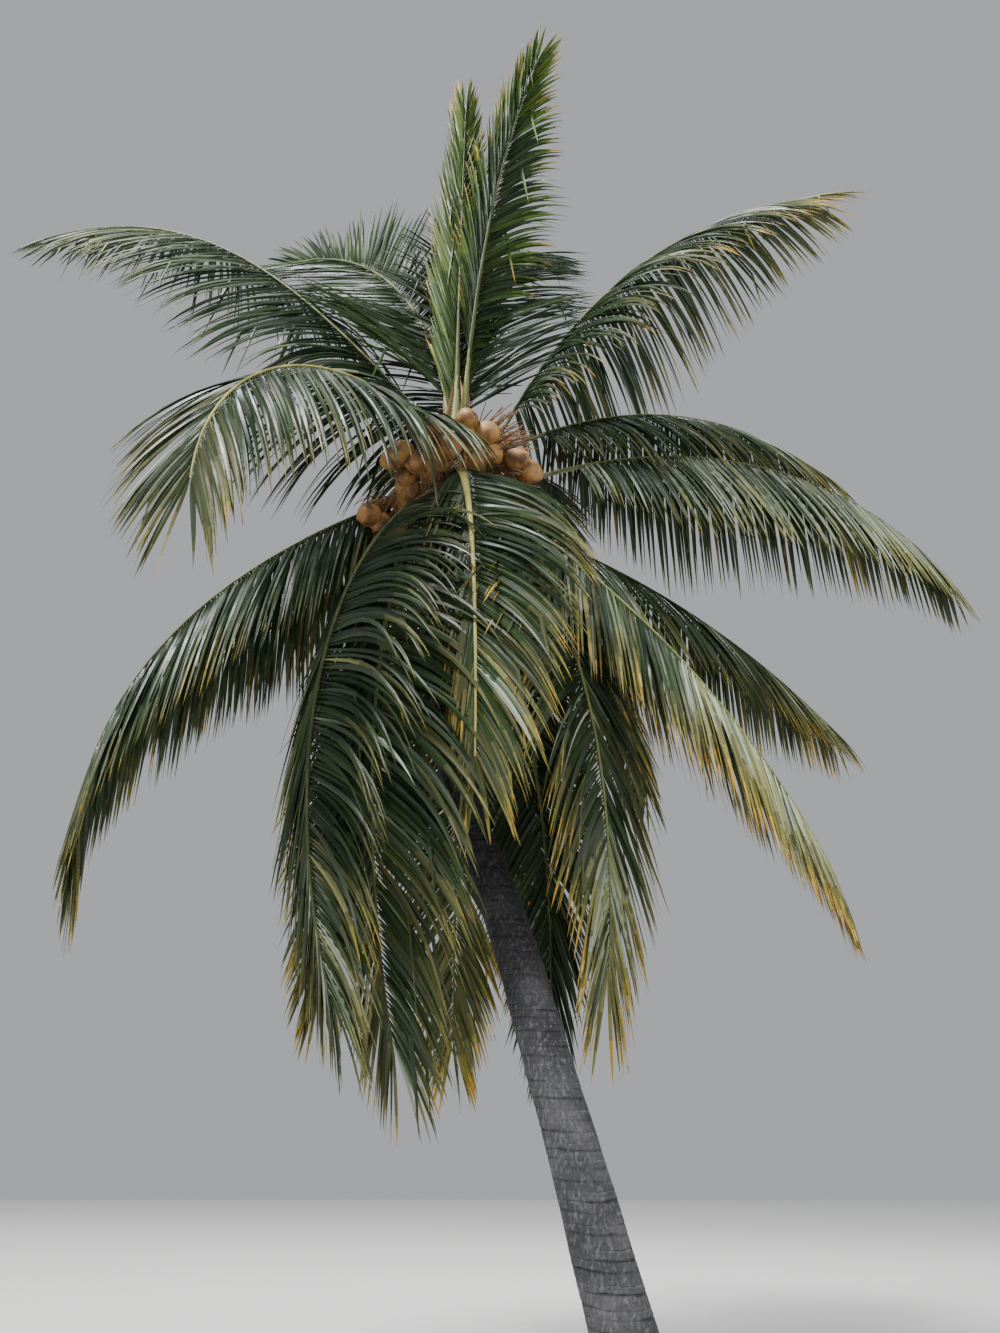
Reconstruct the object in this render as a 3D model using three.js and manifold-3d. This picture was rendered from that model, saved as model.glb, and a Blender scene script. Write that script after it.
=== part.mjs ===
// Coconut palm: a leaning trunk, a crown of arching fronds and bunches of ripe nuts.
// Lengths are in millimetres and angles in degrees. Z is up, and the origin is the middle of
// the flat cut at ground level. Azimuth 0 points along +X and 90 along +Y.
import * as THREE from "three";
import Module from "manifold-3d";

const wasm = await Module();
wasm.setup();

const rad = THREE.MathUtils.degToRad;
const X = new THREE.Vector3(1, 0, 0);
const Y = new THREE.Vector3(0, 1, 0);
const UP = new THREE.Vector3(0, 0, 1);

// Driving dimensions of the trunk. It is thicker by LOWER_SWELL up to about SWELL_HEIGHT and
// flares by ROOT_FLARE at the ground.
const TRUNK_TOP = 5840;
const TRUNK_RADIUS = 118;
const LOWER_SWELL = 36;
const SWELL_HEIGHT = 1900;
const SWELL_POWER = 2.2;
const ROOT_FLARE = 62;
const FLARE_HEIGHT = 190;
const TRUNK_SIDES = 14;
const TRUNK_RINGS = 16;
const RING_CROWDING = 1.25;

// The middle line of the trunk, as x, y and height.
const TRUNK_LINE = [
  [0, 0, 0],
  [-250, 320, 1030],
  [-470, 600, 1890],
  [-720, 930, 2810],
  [-1000, 1200, 3650],
  [-1120, 1400, 4600],
  [-1100, 1500, 5840],
];

// The heart of the crown, a column of clasping leaf bases on top of the trunk. Heights in the
// crown are levels above or below CROWN.
const CROWN = new THREE.Vector3(-1100, 1500, 6200);
const HEART_RADIUS = 150;
const HEART_TAPER = 0.2;
const HEART_TIP_RADIUS = 16;
const HEART_TOP = 640;
const ROOT_DEPTH = 30;

// Clearance between neighbouring solids, how much a rib grows when it cuts another piece, and how
// far a cut's finest slivers are smoothed.
const GAP = 0.7;
const CUT_GAP = 1.2;
const SIMPLIFY = 0.06;

// Driving dimensions of a frond. Its leaf stalk takes the bare share of its length and its blade
// the rest. The turn of a blade about its rib is complete at ROLL_SHARE of the length.
const PETIOLE_STEPS = 3;
const PETIOLE_WIDTH = 84;
const PETIOLE_DEPTH = 56;
const TIP_WIDTH = 30;
const RIB_TAPER = 0.75;
const ROLL_SHARE = 0.4;
const YOUNG_LEVEL = 340;
const YOUNG_SIZE = 0.8;
const LINE_STEPS = 48;
const TIP_BLADE = 330;

// Driving dimensions of a leaflet.
const LEAFLET_LENGTH = 1060;
const LEAFLET_WIDTH = 120;
const LEAFLET_DEPTH = 15;
const LEAFLET_SPACING = 195;
const LEAFLET_STEPS = 8;
const LEAFLET_KNEE = 3;
const ROOM_SHARE = 0.86;
const ROOT_ANGLE = 72;
const TIP_ANGLE = 22;
const LEAST_ANGLE = 11;
const SAG_POWER = 1.8;
const TIP_STIFFNESS = 0.6;

// Each frond: where it leaves the heart, how its rib climbs and bends, and how its leaflets hang.
// rise is the slope of the rib at its foot, fall the angle it loses on the way to its tip, power
// how late it loses it, level the height of its foot on the heart, hang the pull on a leaflet at
// its root, limp the further pull toward its tip, vee the lift of the leaflets above the rib's
// plane, spread the share of the full angle between leaflet and rib, bare the share of the rib
// without leaflets, size the leaflets' length as a share of the usual, roll how far the blade is
// turned about its rib, and lean how much more the leaflets of its first side spread.
function frond(azimuth, level, length, [rise, fall, power], [hang, limp], [vee, spread], habit) {
  const [bare, size, roll, lean] = habit;
  const bend = { rise, fall, power };
  return { azimuth, level, length, ...bend, hang, limp, vee, spread, bare, size, roll, lean };
}
const FRONDS = [
  // Young and upright.
  frond(280, 600, 3550, [89, 4, 1.5], [0, 0], [25, 0.32], [0.06, 1, 0, 0.3]),
  frond(335, 400, 4300, [86, 16, 1.8], [0, 0.6], [15, 0.4], [0.22, 0.95, -40, 0.5]),
  frond(60, 500, 4000, [84, 52, 1.8], [0, 0.45], [5, 0.9], [0.06, 1.1, 40, 0]),
  // Arching to the right.
  frond(2, -10, 4650, [67, 53, 1.75], [0.5, 1.4], [-20, 1], [0.18, 1.2, 0, 0]),
  frond(25, 220, 4150, [40, 65, 1.75], [1, 2.2], [-5, 1], [0.22, 1, 0, 0]),
  frond(14, -80, 4550, [30, 81, 1.6], [1.6, 2.2], [-10, 1], [0.22, 1.1, 0, 0]),
  // Arching to the left.
  frond(174, 420, 4800, [53, 62, 3], [0.35, 1.1], [-5, 1.25], [0.06, 1.35, -45, 0]),
  frond(147, 500, 4300, [80, 66, 1.5], [0, 0.15], [5, 0.85], [0.1, 1.15, -65, 0]),
  frond(235, 400, 3200, [0, 92, 1.45], [0.5, 1.6], [0, 1.2], [0.07, 1.2, -30, 0]),
  frond(187, 0, 3950, [-27, 72, 1.65], [1.2, 2.2], [-15, 1], [0.1, 1.1, 0, 0]),
  // Hanging in front.
  frond(231, -20, 4150, [-43, 71, 1], [0.1, 1.7], [-15, 1.2], [0.13, 1.1, 18, 0.25]),
  frond(250, -150, 4250, [-38, 80, 0.82], [0.1, 1.7], [-15, 1], [0.15, 1.1, 12, 0.2]),
  frond(280, 80, 3100, [-20, 71, 0.5], [0.2, 1.6], [-10, 0.75], [0.06, 1.05, 35, 0.55]),
  frond(326, -130, 3850, [-36, 60, 0.58], [0, 1.1], [-5, 1], [0.1, 1.1, 0, 0]),
  // Hanging to the right and behind.
  frond(340, 20, 3900, [-46, 24, 1.65], [1.2, 2.1], [0, 1], [0.08, 1.05, 0, 0]),
  frond(29, -200, 3750, [2, 36, 1], [1.2, 2], [-5, 1], [0.15, 1.05, 0, 0]),
  frond(90, -240, 4100, [-15, 80, 0.5], [0.1, 1], [-15, 0.9], [0.15, 1, 0, 0]),
  frond(48, -225, 3800, [-52, 43, 0.8], [0.1, 1], [-15, 0.9], [0.15, 1, 0, 0]),
  // The far side of the crown.
  frond(98, 340, 4600, [50, 85, 1.6], [0.5, 1.2], [0, 1], [0.15, 1, 0, 0]),
  frond(108, 60, 4400, [15, 80, 1.3], [1, 1.5], [-10, 1], [0.15, 1, 0, 0]),
  frond(150, -100, 3200, [-4, 36, 1.3], [1.2, 1.8], [-10, 1], [0.15, 1, 0, 0]),
  frond(62, 50, 4300, [12, 70, 1.3], [1, 1.5], [-10, 1], [0.15, 1, 0, 0]),
  frond(75, 210, 4600, [45, 80, 1.6], [0.5, 1.2], [-5, 1], [0.15, 1, 0, 0]),
  frond(122, -160, 4000, [-25, 65, 0.8], [0.2, 1.2], [-20, 1], [0.15, 1, 0, 0]),
  frond(68, -110, 3800, [-30, 62, 0.8], [0.2, 1.2], [-20, 1], [0.15, 1, 0, 0]),
];

// A frond that bends by this much or more is made in two lengths, parted at this share.
const SPLIT_BEND = 72;
const SPLIT_SHARE = 0.5;

// Bunches of nuts: where the stalk leaves the heart, how it bends, and how many nuts it bears.
const NUT_RADIUS = 92;
const NUT_HALF_HEIGHT = 112;
const STALK_RADIUS = 26;
const STALK_POWER = 0.8;
const BUNCHES = [
  { name: "bunch_left", azimuth: 198, level: 130, rise: -15, fall: 70, length: 850, nuts: 9 },
  { name: "bunch_front_left", azimuth: 238, level: 160, rise: 5, fall: 80, length: 550, nuts: 9 },
  { name: "bunch_front", azimuth: 285, level: 255, rise: 0, fall: 80, length: 450, nuts: 7 },
  { name: "bunch_right", azimuth: 335, level: 120, rise: 0, fall: 80, length: 600, nuts: 9 },
  { name: "bunch_back", azimuth: 85, level: 30, rise: 0, fall: 85, length: 620, nuts: 6 },
  { name: "bunch_back_left", azimuth: 165, level: 120, rise: 0, fall: 85, length: 620, nuts: 6 },
];

// The closed flower sheath that stands between the upper fronds. Its foot is an offset from CROWN.
const SHEATH_FOOT = new THREE.Vector3(-35, -95, 300);
const SHEATH_ALONG = new THREE.Vector3(-0.3, -0.42, 0.86).normalize();
const SHEATH_LENGTH = 330;
const SHEATH_RADIUS = 34;

// A repeatable number from 0 to 1 for a pair of counters.
function chance(a, b) {
  const x = Math.sin(a * 127.1 + b * 311.7 + 74.7) * 43758.5453;
  return x - Math.floor(x);
}

// A point moved from another by steps along directions, given as pairs of direction and distance.
function moved(point, ...steps) {
  const out = point.clone();
  for (const [way, distance] of steps) out.addScaledVector(way, distance);
  return out;
}

// A solid from corners and triangles, turned so that its faces point outwards.
function solidOf(corners, faces) {
  const build = (order) =>
    new wasm.Manifold(
      new wasm.Mesh({
        numProp: 3,
        vertProperties: new Float32Array(corners.flatMap((p) => [p.x, p.y, p.z])),
        triVerts: new Uint32Array(order),
      }),
    );
  const made = build(faces);
  if (made.volume() > 0) return made;
  const turned = [];
  for (let i = 0; i < faces.length; i += 3) turned.push(faces[i], faces[i + 2], faces[i + 1]);
  return build(turned);
}

// A closed solid through rings of equally many corners. Each end is shut flat, or drawn to a
// point where one is given.
function skin(rings, foot, tip) {
  const sides = rings[0].length;
  const flat = rings.flat();
  const faces = [];
  for (let i = 0; i + 1 < rings.length; i++) {
    for (let k = 0; k < sides; k++) {
      const a = i * sides + k;
      const b = i * sides + ((k + 1) % sides);
      faces.push(a, b, b + sides, a, b + sides, a + sides);
    }
  }
  const last = (rings.length - 1) * sides;
  if (foot) {
    flat.push(foot);
    for (let k = 0; k < sides; k++) faces.push(flat.length - 1, (k + 1) % sides, k);
  } else {
    for (let k = 1; k + 1 < sides; k++) faces.push(0, k + 1, k);
  }
  if (tip) {
    flat.push(tip);
    for (let k = 0; k < sides; k++) faces.push(flat.length - 1, last + k, last + ((k + 1) % sides));
  } else {
    for (let k = 1; k + 1 < sides; k++) faces.push(last, last + k, last + k + 1);
  }
  return solidOf(flat, faces);
}

// A round ring of corners about a point, in the plane of u and v.
function ring(centre, u, v, radius, sides) {
  return Array.from({ length: sides }, (_, k) => {
    const angle = (2 * Math.PI * k) / sides;
    return moved(centre, [u, radius * Math.cos(angle)], [v, radius * Math.sin(angle)]);
  });
}

function trunkRadius(height) {
  const swell = LOWER_SWELL * Math.exp(-Math.pow(height / SWELL_HEIGHT, SWELL_POWER));
  return TRUNK_RADIUS + swell + ROOT_FLARE * Math.exp(-height / FLARE_HEIGHT);
}

// The trunk is a stack of level rings along its middle line, cut flat at both ends.
function makeTrunk() {
  const points = TRUNK_LINE.map(([x, y, z]) => new THREE.Vector3(x, y, z));
  const samples = new THREE.CatmullRomCurve3(points, false, "centripetal").getSpacedPoints(400);
  const rings = [];
  for (let i = 0; i <= TRUNK_RINGS; i++) {
    const height = TRUNK_TOP * Math.pow(i / TRUNK_RINGS, RING_CROWDING);
    const above = samples.findIndex((p, k) => k > 0 && p.z >= height - 1e-6);
    const upper = samples[above < 0 ? samples.length - 1 : above];
    const lower = samples[(above < 0 ? samples.length - 1 : above) - 1];
    const share = THREE.MathUtils.clamp((height - lower.z) / (upper.z - lower.z), 0, 1);
    const centre = lower.clone().lerp(upper, share).setZ(height);
    rings.push(ring(centre, X, Y, trunkRadius(height), TRUNK_SIDES));
  }
  return skin(rings);
}

function heartRadius(level) {
  return Math.max(HEART_TIP_RADIUS, HEART_RADIUS - HEART_TAPER * Math.max(0, level));
}

// The heart, grown by a margin when it serves as a cutter.
function makeHeart(margin = 0) {
  const foot = TRUNK_TOP + GAP - CROWN.z - margin;
  const levels = [foot, foot + 110, 0, 160, 320, 480, HEART_TOP + margin];
  const rings = levels.map((level, i) => {
    const radius = (i === 0 ? TRUNK_RADIUS + 4 : heartRadius(level)) + margin;
    return ring(moved(CROWN, [UP, level]), X, Y, radius, TRUNK_SIDES);
  });
  return skin(rings);
}

// The rib of a frond or the stalk of a bunch as a line of points, each with the side direction,
// the upper direction and the direction of growth. A roll turns the first two about the third.
function growLine(part, steps) {
  const azimuth = rad(part.azimuth);
  const out = new THREE.Vector3(Math.cos(azimuth), Math.sin(azimuth), 0);
  const level = new THREE.Vector3(-out.y, out.x, 0);
  const slopeAt = (share) => rad(part.rise - part.fall * Math.pow(share, part.power));
  const zero = new THREE.Vector3();
  let point = moved(CROWN, [out, heartRadius(part.level) - ROOT_DEPTH], [UP, part.level]);
  const line = [];
  for (let i = 0; i <= steps; i++) {
    const slope = slopeAt(i / steps);
    const along = moved(zero, [out, Math.cos(slope)], [UP, Math.sin(slope)]);
    const square = moved(zero, [out, -Math.sin(slope)], [UP, Math.cos(slope)]);
    const roll = rad(part.roll ?? 0) * Math.min(1, i / steps / ROLL_SHARE);
    const side = moved(zero, [level, Math.cos(roll)], [square, Math.sin(roll)]);
    const upper = moved(zero, [square, Math.cos(roll)], [level, -Math.sin(roll)]);
    line.push({ point, along, side, upper });
    const middle = slopeAt((i + 0.5) / steps);
    const step = part.length / steps;
    point = moved(point, [out, Math.cos(middle) * step], [UP, Math.sin(middle) * step]);
  }
  return line;
}

// The state of a line at any share of its length.
function at(line, share) {
  const f = THREE.MathUtils.clamp(share, 0, 1) * (line.length - 1);
  const i = Math.min(Math.floor(f), line.length - 2);
  const t = f - i;
  return {
    point: line[i].point.clone().lerp(line[i + 1].point, t),
    along: line[i].along.clone().lerp(line[i + 1].along, t).normalize(),
    upper: line[i].upper.clone().lerp(line[i + 1].upper, t).normalize(),
    side: line[i].side.clone().lerp(line[i + 1].side, t).normalize(),
  };
}

// Half the width and half the depth of a rib at a share of its length. Young fronds are slimmer
// at the foot.
function ribSize(share, young) {
  const size = young ? YOUNG_SIZE : 1;
  const t = Math.pow(share, RIB_TAPER);
  const width = THREE.MathUtils.lerp(size * PETIOLE_WIDTH, TIP_WIDTH, t);
  const depth = THREE.MathUtils.lerp(size * PETIOLE_DEPTH, TIP_WIDTH, t);
  return [width / 2, depth / 2];
}

// The corners of a rib's section: its two edges, its upper ridge and its lower ridge. A margin
// grows the section, and a shift moves it along the rib.
function section(line, share, young, margin = 0, shift = 0) {
  const here = at(line, share);
  const [a, b] = ribSize(share, young);
  const middle = moved(here.point, [here.along, shift]);
  return {
    here,
    edges: {
      "1": moved(middle, [here.side, a + margin]),
      "-1": moved(middle, [here.side, -a - margin]),
    },
    top: moved(middle, [here.upper, b + margin]),
    low: moved(middle, [here.upper, -b - margin]),
  };
}

// The stations of a frond between two shares of its length: plain ones along the leaf stalk and
// at the ends, and one for each pair of leaflets.
function stationsOf(frond, line, from, to, young, margin = 0) {
  const blade = frond.length * (1 - frond.bare);
  const pairs = Math.round(blade / LEAFLET_SPACING);
  const spacing = blade / pairs;
  const room = (0.5 * spacing) / frond.length;
  const list = [section(line, from, young, margin, -margin)];
  for (let i = 1; from === 0 && i < PETIOLE_STEPS; i++) {
    list.push(section(line, (frond.bare * i) / PETIOLE_STEPS, young, margin));
  }
  for (let k = 0; k < pairs; k++) {
    const q = (k + 0.5) / pairs;
    const share = frond.bare + (1 - frond.bare) * q;
    if (from > 0 && share < from + room) continue;
    if (to < 1 && share > to - room) continue;
    list.push({ ...section(line, share, young, margin), q, k, spacing });
  }
  if (to < 1) list.push(section(line, to, young, margin));
  return list;
}

// A bare rib through its stations, for clearances and for cutting.
function makeRib(stations, pointed) {
  const rings = stations.map((s) => [s.edges["1"], s.top, s.edges["-1"], s.low]);
  return skin(rings, null, pointed);
}

// How long a leaflet is at a share of the blade, as a share of the longest. The first ones are
// longer on fronds with little bare rib.
function leafletShare(q, bare) {
  const first = THREE.MathUtils.mapLinear(THREE.MathUtils.clamp(bare, 0.06, 0.2), 0.06, 0.2, 0.75, 0.45);
  const root = Math.min(1, first + 2.6 * q);
  return root * (1 - 0.5 * Math.pow(Math.max(0, (q - 0.35) / 0.65), 1.6));
}

// One leaflet: a folded blade, bent at its knee. It springs from the upper facet of the rib, or
// from the lower one where it hangs, and its fold stands out on the same side. Its edges stay
// level with the rib, so that neighbours lie side by side.
function makeLeaflet(frond, station, hand, key, trim) {
  const { here, q, spacing } = station;
  const spread = frond.spread * (1 + hand * frond.lean);
  const angle = spread * (ROOT_ANGLE - (ROOT_ANGLE - TIP_ANGLE) * Math.pow(q, 1.3));
  const phi = rad(Math.max(LEAST_ANGLE, angle) + 4 * (chance(key, 1) - 0.5));
  const vee = rad(frond.vee + 8 * (chance(key, 2) - 0.5));
  const length = LEAFLET_LENGTH * frond.size * leafletShare(q, frond.bare) * trim.length;
  const step = length / LEAFLET_STEPS;
  const start = moved(
    new THREE.Vector3(),
    [here.along, Math.cos(phi)],
    [here.side, hand * Math.sin(phi) * Math.cos(vee)],
    [here.upper, Math.sin(phi) * Math.sin(vee)],
  );
  const stiff = 1 - TIP_STIFFNESS * Math.pow(q, 4);
  const points = [here.point];
  for (let i = 0; i < LEAFLET_STEPS; i++) {
    const pull = stiff * (frond.hang + frond.limp * Math.pow((i + 0.5) / LEAFLET_STEPS, SAG_POWER));
    points.push(moved(points[i], [moved(start, [UP, -pull]).normalize(), step]));
  }
  const knee = points[LEAFLET_KNEE];
  const tip = points[LEAFLET_STEPS];
  const edge = station.edges[hand];
  const reach = moved(knee, [edge, -1]);
  const hangs = reach.dot(here.upper) < 0;
  const apex = hangs ? station.low : station.top;
  const proud = new THREE.Vector3().crossVectors(here.along, reach).normalize();
  if (proud.dot(moved(apex, [edge, -1])) < 0) proud.negate();
  const across = Math.sin(moved(tip, [knee, -1]).angleTo(here.along));
  const half = (trim.width * Math.min(LEAFLET_WIDTH / across, ROOM_SHARE * spacing)) / 2;
  return {
    hangs,
    apex,
    kneeA: moved(knee, [here.along, -half]),
    kneeB: moved(knee, [here.along, half]),
    kneeR: moved(knee, [proud, LEAFLET_DEPTH]),
    tip,
    rootHalf: Math.min(0.3 * spacing, 0.8 * half),
  };
}

// A frond, or one length of it, as a single closed surface whose outline is cut to the rib
// between its leaflets. Stations without leaflets are plain sections of the rib.
function makeFrond(stations, pointed) {
  const corners = [];
  const faces = [];
  const add = (p) => corners.push(p) - 1;
  const rows = stations.map((s) => {
    const row = { top: add(s.top), low: add(s.low), first: {}, last: {}, leaf: {} };
    for (const hand of [1, -1]) {
      if (!s.roots) {
        row.first[hand] = add(s.edges[hand]);
        row.last[hand] = row.first[hand];
        continue;
      }
      row.first[hand] = add(s.roots[hand][0]);
      row.last[hand] = add(s.roots[hand][1]);
      const leaf = s.leaves[hand];
      if (!leaf) continue;
      row.leaf[hand] = {
        hangs: leaf.hangs,
        kneeA: add(leaf.kneeA),
        kneeB: add(leaf.kneeB),
        kneeR: add(leaf.kneeR),
        tip: add(leaf.tip),
      };
    }
    return row;
  });
  const face = (hand, a, b, c) => (hand > 0 ? faces.push(a, b, c) : faces.push(a, c, b));
  rows.forEach((row, i) => {
    for (const hand of [1, -1]) {
      const [a, b] = [row.first[hand], row.last[hand]];
      const leaf = row.leaf[hand];
      if (a !== b && !(leaf && leaf.hangs)) face(hand, row.low, a, b);
      if (a !== b && !(leaf && !leaf.hangs)) face(hand, row.top, b, a);
      if (leaf) {
        const { kneeA, kneeB, kneeR, tip } = leaf;
        const apex = leaf.hangs ? row.low : row.top;
        const turn = leaf.hangs ? -hand : hand;
        face(turn, a, apex, kneeR);
        face(turn, a, kneeR, kneeA);
        face(turn, apex, b, kneeR);
        face(turn, b, kneeB, kneeR);
        face(turn, kneeA, kneeR, tip);
        face(turn, kneeR, kneeB, tip);
        face(turn, a, kneeB, b);
        face(turn, a, kneeA, kneeB);
        face(turn, kneeA, tip, kneeB);
      }
      const next = rows[i + 1];
      if (!next) continue;
      face(hand, row.top, next.top, next.first[hand]);
      face(hand, row.top, next.first[hand], b);
      face(hand, row.low, next.first[hand], next.low);
      face(hand, row.low, b, next.first[hand]);
    }
  });
  const start = rows[0];
  face(1, start.top, start.first[1], start.low);
  face(-1, start.top, start.first[-1], start.low);
  const end = rows[rows.length - 1];
  if (pointed) {
    const point = add(pointed);
    for (const hand of [1, -1]) {
      face(hand, end.top, point, end.last[hand]);
      face(hand, end.low, end.last[hand], point);
    }
  } else {
    face(1, end.top, end.low, end.last[1]);
    face(-1, end.top, end.low, end.last[-1]);
  }
  return solidOf(corners, faces);
}

// Pieces already in place, each with the node it belongs to.
const placed = [];

function boxOf(solid) {
  const { min, max } = solid.boundingBox();
  return new THREE.Box3(new THREE.Vector3(...min), new THREE.Vector3(...max));
}

function place(node, solid) {
  placed.push({ node, solid, box: boxOf(solid) });
}

// Whether a piece keeps its clearance from every piece of another node.
function isClear(node, solid, clearance) {
  const box = boxOf(solid).expandByScalar(clearance + 0.1);
  return placed.every(
    (other) =>
      other.node === node ||
      !other.box.intersectsBox(box) ||
      solid.minGap(other.solid, clearance + 0.1) >= clearance,
  );
}

// The largest body of a solid that a cut may have parted.
function largest(solid) {
  return solid.decompose().reduce((a, b) => (a.volume() >= b.volume() ? a : b));
}

const trunk = makeTrunk();
const heart = makeHeart();
place("trunk", trunk);
place("crown_heart", heart);
const heartCutter = makeHeart(GAP);
const trunkCutter = trunk.translate(0, 0, GAP);

// The ribs come first, so that the nuts and leaflets keep clear of them. The first stations of
// each, grown a little, cut whatever crosses them near the heart.
const CUTTER_STATIONS = 10;
const fronds = new Map();
const cutters = [];
FRONDS.forEach((frond, index) => {
  const line = growLine(frond, LINE_STEPS);
  const young = frond.level >= YOUNG_LEVEL;
  const split = frond.fall >= SPLIT_BEND;
  const lengths = split
    ? [[0, SPLIT_SHARE, "_inner"], [SPLIT_SHARE, 1, "_outer"]]
    : [[0, 1, ""]];
  for (const [from, to, suffix] of lengths) {
    const start = from > 0 ? from + GAP / frond.length : 0;
    const stations = stationsOf(frond, line, start, to, young);
    const end = at(line, 1);
    const pointed = to < 1 ? null : moved(end.point, [end.along, TIP_BLADE]);
    const name = "frond_" + String(index + 1).padStart(2, "0") + suffix;
    fronds.set(name, { frond, stations, pointed, index, young, from });
    place(name, makeRib(stations, pointed));
    if (from > 0) continue;
    const near = stationsOf(frond, line, 0, to, young, CUT_GAP).slice(0, CUTTER_STATIONS);
    const cutter = makeRib(near);
    cutters.push({ solid: cutter, box: boxOf(cutter), index });
  }
});

// A solid less the heart, the trunk and the ribs that came before it.
function cutClear(solid, before) {
  let rest = solid.subtract(heartCutter).subtract(trunkCutter);
  const box = boxOf(solid);
  for (const cutter of cutters) {
    if (cutter.index < before && cutter.box.intersectsBox(box)) {
      rest = rest.subtract(cutter.solid);
    }
  }
  return rest;
}

// A nut: an egg with its narrow end away from the stalk.
function makeNut(centre, axis, size) {
  const u = new THREE.Vector3().crossVectors(axis, Math.abs(axis.z) < 0.9 ? UP : X).normalize();
  const v = new THREE.Vector3().crossVectors(axis, u).normalize();
  const profile = [
    [-0.6, 0.78],
    [0.02, 1.04],
    [0.64, 0.72],
  ];
  const rings = profile.map(([h, r]) =>
    ring(moved(centre, [axis, h * NUT_HALF_HEIGHT * size]), u, v, r * NUT_RADIUS * size, 7),
  );
  const foot = moved(centre, [axis, -NUT_HALF_HEIGHT * size]);
  const tip = moved(centre, [axis, NUT_HALF_HEIGHT * size]);
  return skin(rings, foot, tip);
}

// A bunch: nuts in a spiral round the outer part of their stalk, first close to it and then in a
// second layer. Each bites into the stalk or a neighbour, but by no more than a quarter, and one
// that finds no room is left off.
const NUT_TRIES = 160;
const INNER_LAYER = 0.8;
const OUTER_LAYER = 1.9;
const NUT_CLEARANCE = 2;
const LEAST_BITE = 5e3;
const MOST_BITE = 0.25;
function makeBunch(bunch, index) {
  const line = growLine({ ...bunch, power: STALK_POWER }, 12);
  const rings = [0, 3, 6, 9, 12].map((i) =>
    ring(line[i].point, line[i].side, line[i].upper, STALK_RADIUS, 6),
  );
  const pieces = cutClear(skin(rings), FRONDS.length).decompose();
  let whole = pieces.reduce((a, b) => (boxOf(a).min.z <= boxOf(b).min.z ? a : b));
  let count = 0;
  for (let i = 0; i < NUT_TRIES && count < bunch.nuts; i++) {
    const here = at(line, 1 - 0.55 * ((i * 0.381) % 1));
    const angle = i * 2.4 + index;
    const zero = new THREE.Vector3();
    const away = moved(zero, [here.side, Math.cos(angle)], [here.upper, Math.sin(angle)]);
    const size = 0.9 + 0.2 * chance(index, i);
    const layer = i < NUT_TRIES / 2 ? INNER_LAYER : OUTER_LAYER;
    const centre = moved(here.point, [away, STALK_RADIUS + layer * NUT_RADIUS * size]);
    const axis = moved(zero, [away, 0.7], [UP, -0.6]).normalize();
    const nut = makeNut(centre, axis, size);
    const bite = nut.intersect(whole).volume();
    if (bite < LEAST_BITE || bite > MOST_BITE * nut.volume()) continue;
    if (!isClear(bunch.name, nut, NUT_CLEARANCE)) continue;
    whole = whole.add(nut);
    count += 1;
  }
  return whole;
}

const bunches = new Map();
BUNCHES.forEach((bunch, index) => {
  const whole = makeBunch(bunch, index);
  bunches.set(bunch.name, whole);
  place(bunch.name, whole);
});

// The flower sheath stands beside the youngest frond.
function makeSheath() {
  const side = new THREE.Vector3().crossVectors(SHEATH_ALONG, UP).normalize();
  const front = new THREE.Vector3().crossVectors(side, SHEATH_ALONG).normalize();
  const foot = CROWN.clone().add(SHEATH_FOOT);
  const profile = [
    [0, 0.5],
    [0.3, 1],
    [0.62, 0.8],
  ];
  const rings = profile.map(([share, r]) => {
    const middle = moved(foot, [SHEATH_ALONG, share * SHEATH_LENGTH]);
    return ring(middle, side, front, r * SHEATH_RADIUS, 8);
  });
  const tip = moved(foot, [SHEATH_ALONG, SHEATH_LENGTH]);
  return largest(cutClear(skin(rings, null, tip), FRONDS.length));
}

const sheath = makeSheath();
place("flower_sheath", sheath);

// A leaflet that would touch another is tried narrower and shorter, then left off.
const TRIMS = [
  { length: 1, width: 1 },
  { length: 1, width: 0.7 },
  { length: 0.86, width: 0.7 },
  { length: 0.7, width: 0.6 },
  { length: 0.55, width: 0.6 },
];
const LEAST_OWN_GAP = 0.6;
const BARE_ROOT_SHARE = 0.2;

// The two roots of a leaflet, on the straight edges towards the stations before and after.
function rootsOf(station, before, after, hand, reach) {
  const edge = station.edges[hand];
  return [before, after].map((other) => {
    const toward = other.clone().sub(edge).normalize();
    return moved(edge, [toward, reach]);
  });
}

// Whether a leaflet's blade would touch another leaflet of its own frond.
function touchesOwn(own, blade, k, hand) {
  const box = boxOf(blade).expandByScalar(1);
  return own.some(
    (other) =>
      !(other.k === k && other.hand !== hand) &&
      other.box.intersectsBox(box) &&
      other.solid.minGap(blade, 1) < LEAST_OWN_GAP,
  );
}

// Gives each station of a frond its leaflets and their roots.
function growLeaflets(name, { frond, stations, pointed, index }) {
  const own = [];
  stations.forEach((station, i) => {
    if (station.k === undefined) return;
    station.roots = {};
    station.leaves = {};
    const { k, spacing } = station;
    for (const hand of [1, -1]) {
      const before = stations[i - 1].edges[hand];
      const after = stations[i + 1] ? stations[i + 1].edges[hand] : pointed;
      const key = index * 100 + k * 2 + hand;
      station.roots[hand] = rootsOf(station, before, after, hand, BARE_ROOT_SHARE * spacing);
      for (const trim of TRIMS) {
        const leaf = makeLeaflet(frond, station, hand, key, trim);
        const roots = rootsOf(station, before, after, hand, leaf.rootHalf);
        const knees = [leaf.kneeA, leaf.kneeB, leaf.kneeR];
        const blade = skin([[...roots, leaf.apex], knees], null, leaf.tip);
        if (!isClear(name, blade, GAP) || touchesOwn(own, blade, k, hand)) continue;
        own.push({ solid: blade, box: boxOf(blade), k, hand });
        place(name, blade);
        station.leaves[hand] = leaf;
        station.roots[hand] = roots;
        break;
      }
    }
  });
}

const group = new THREE.Group();

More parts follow.
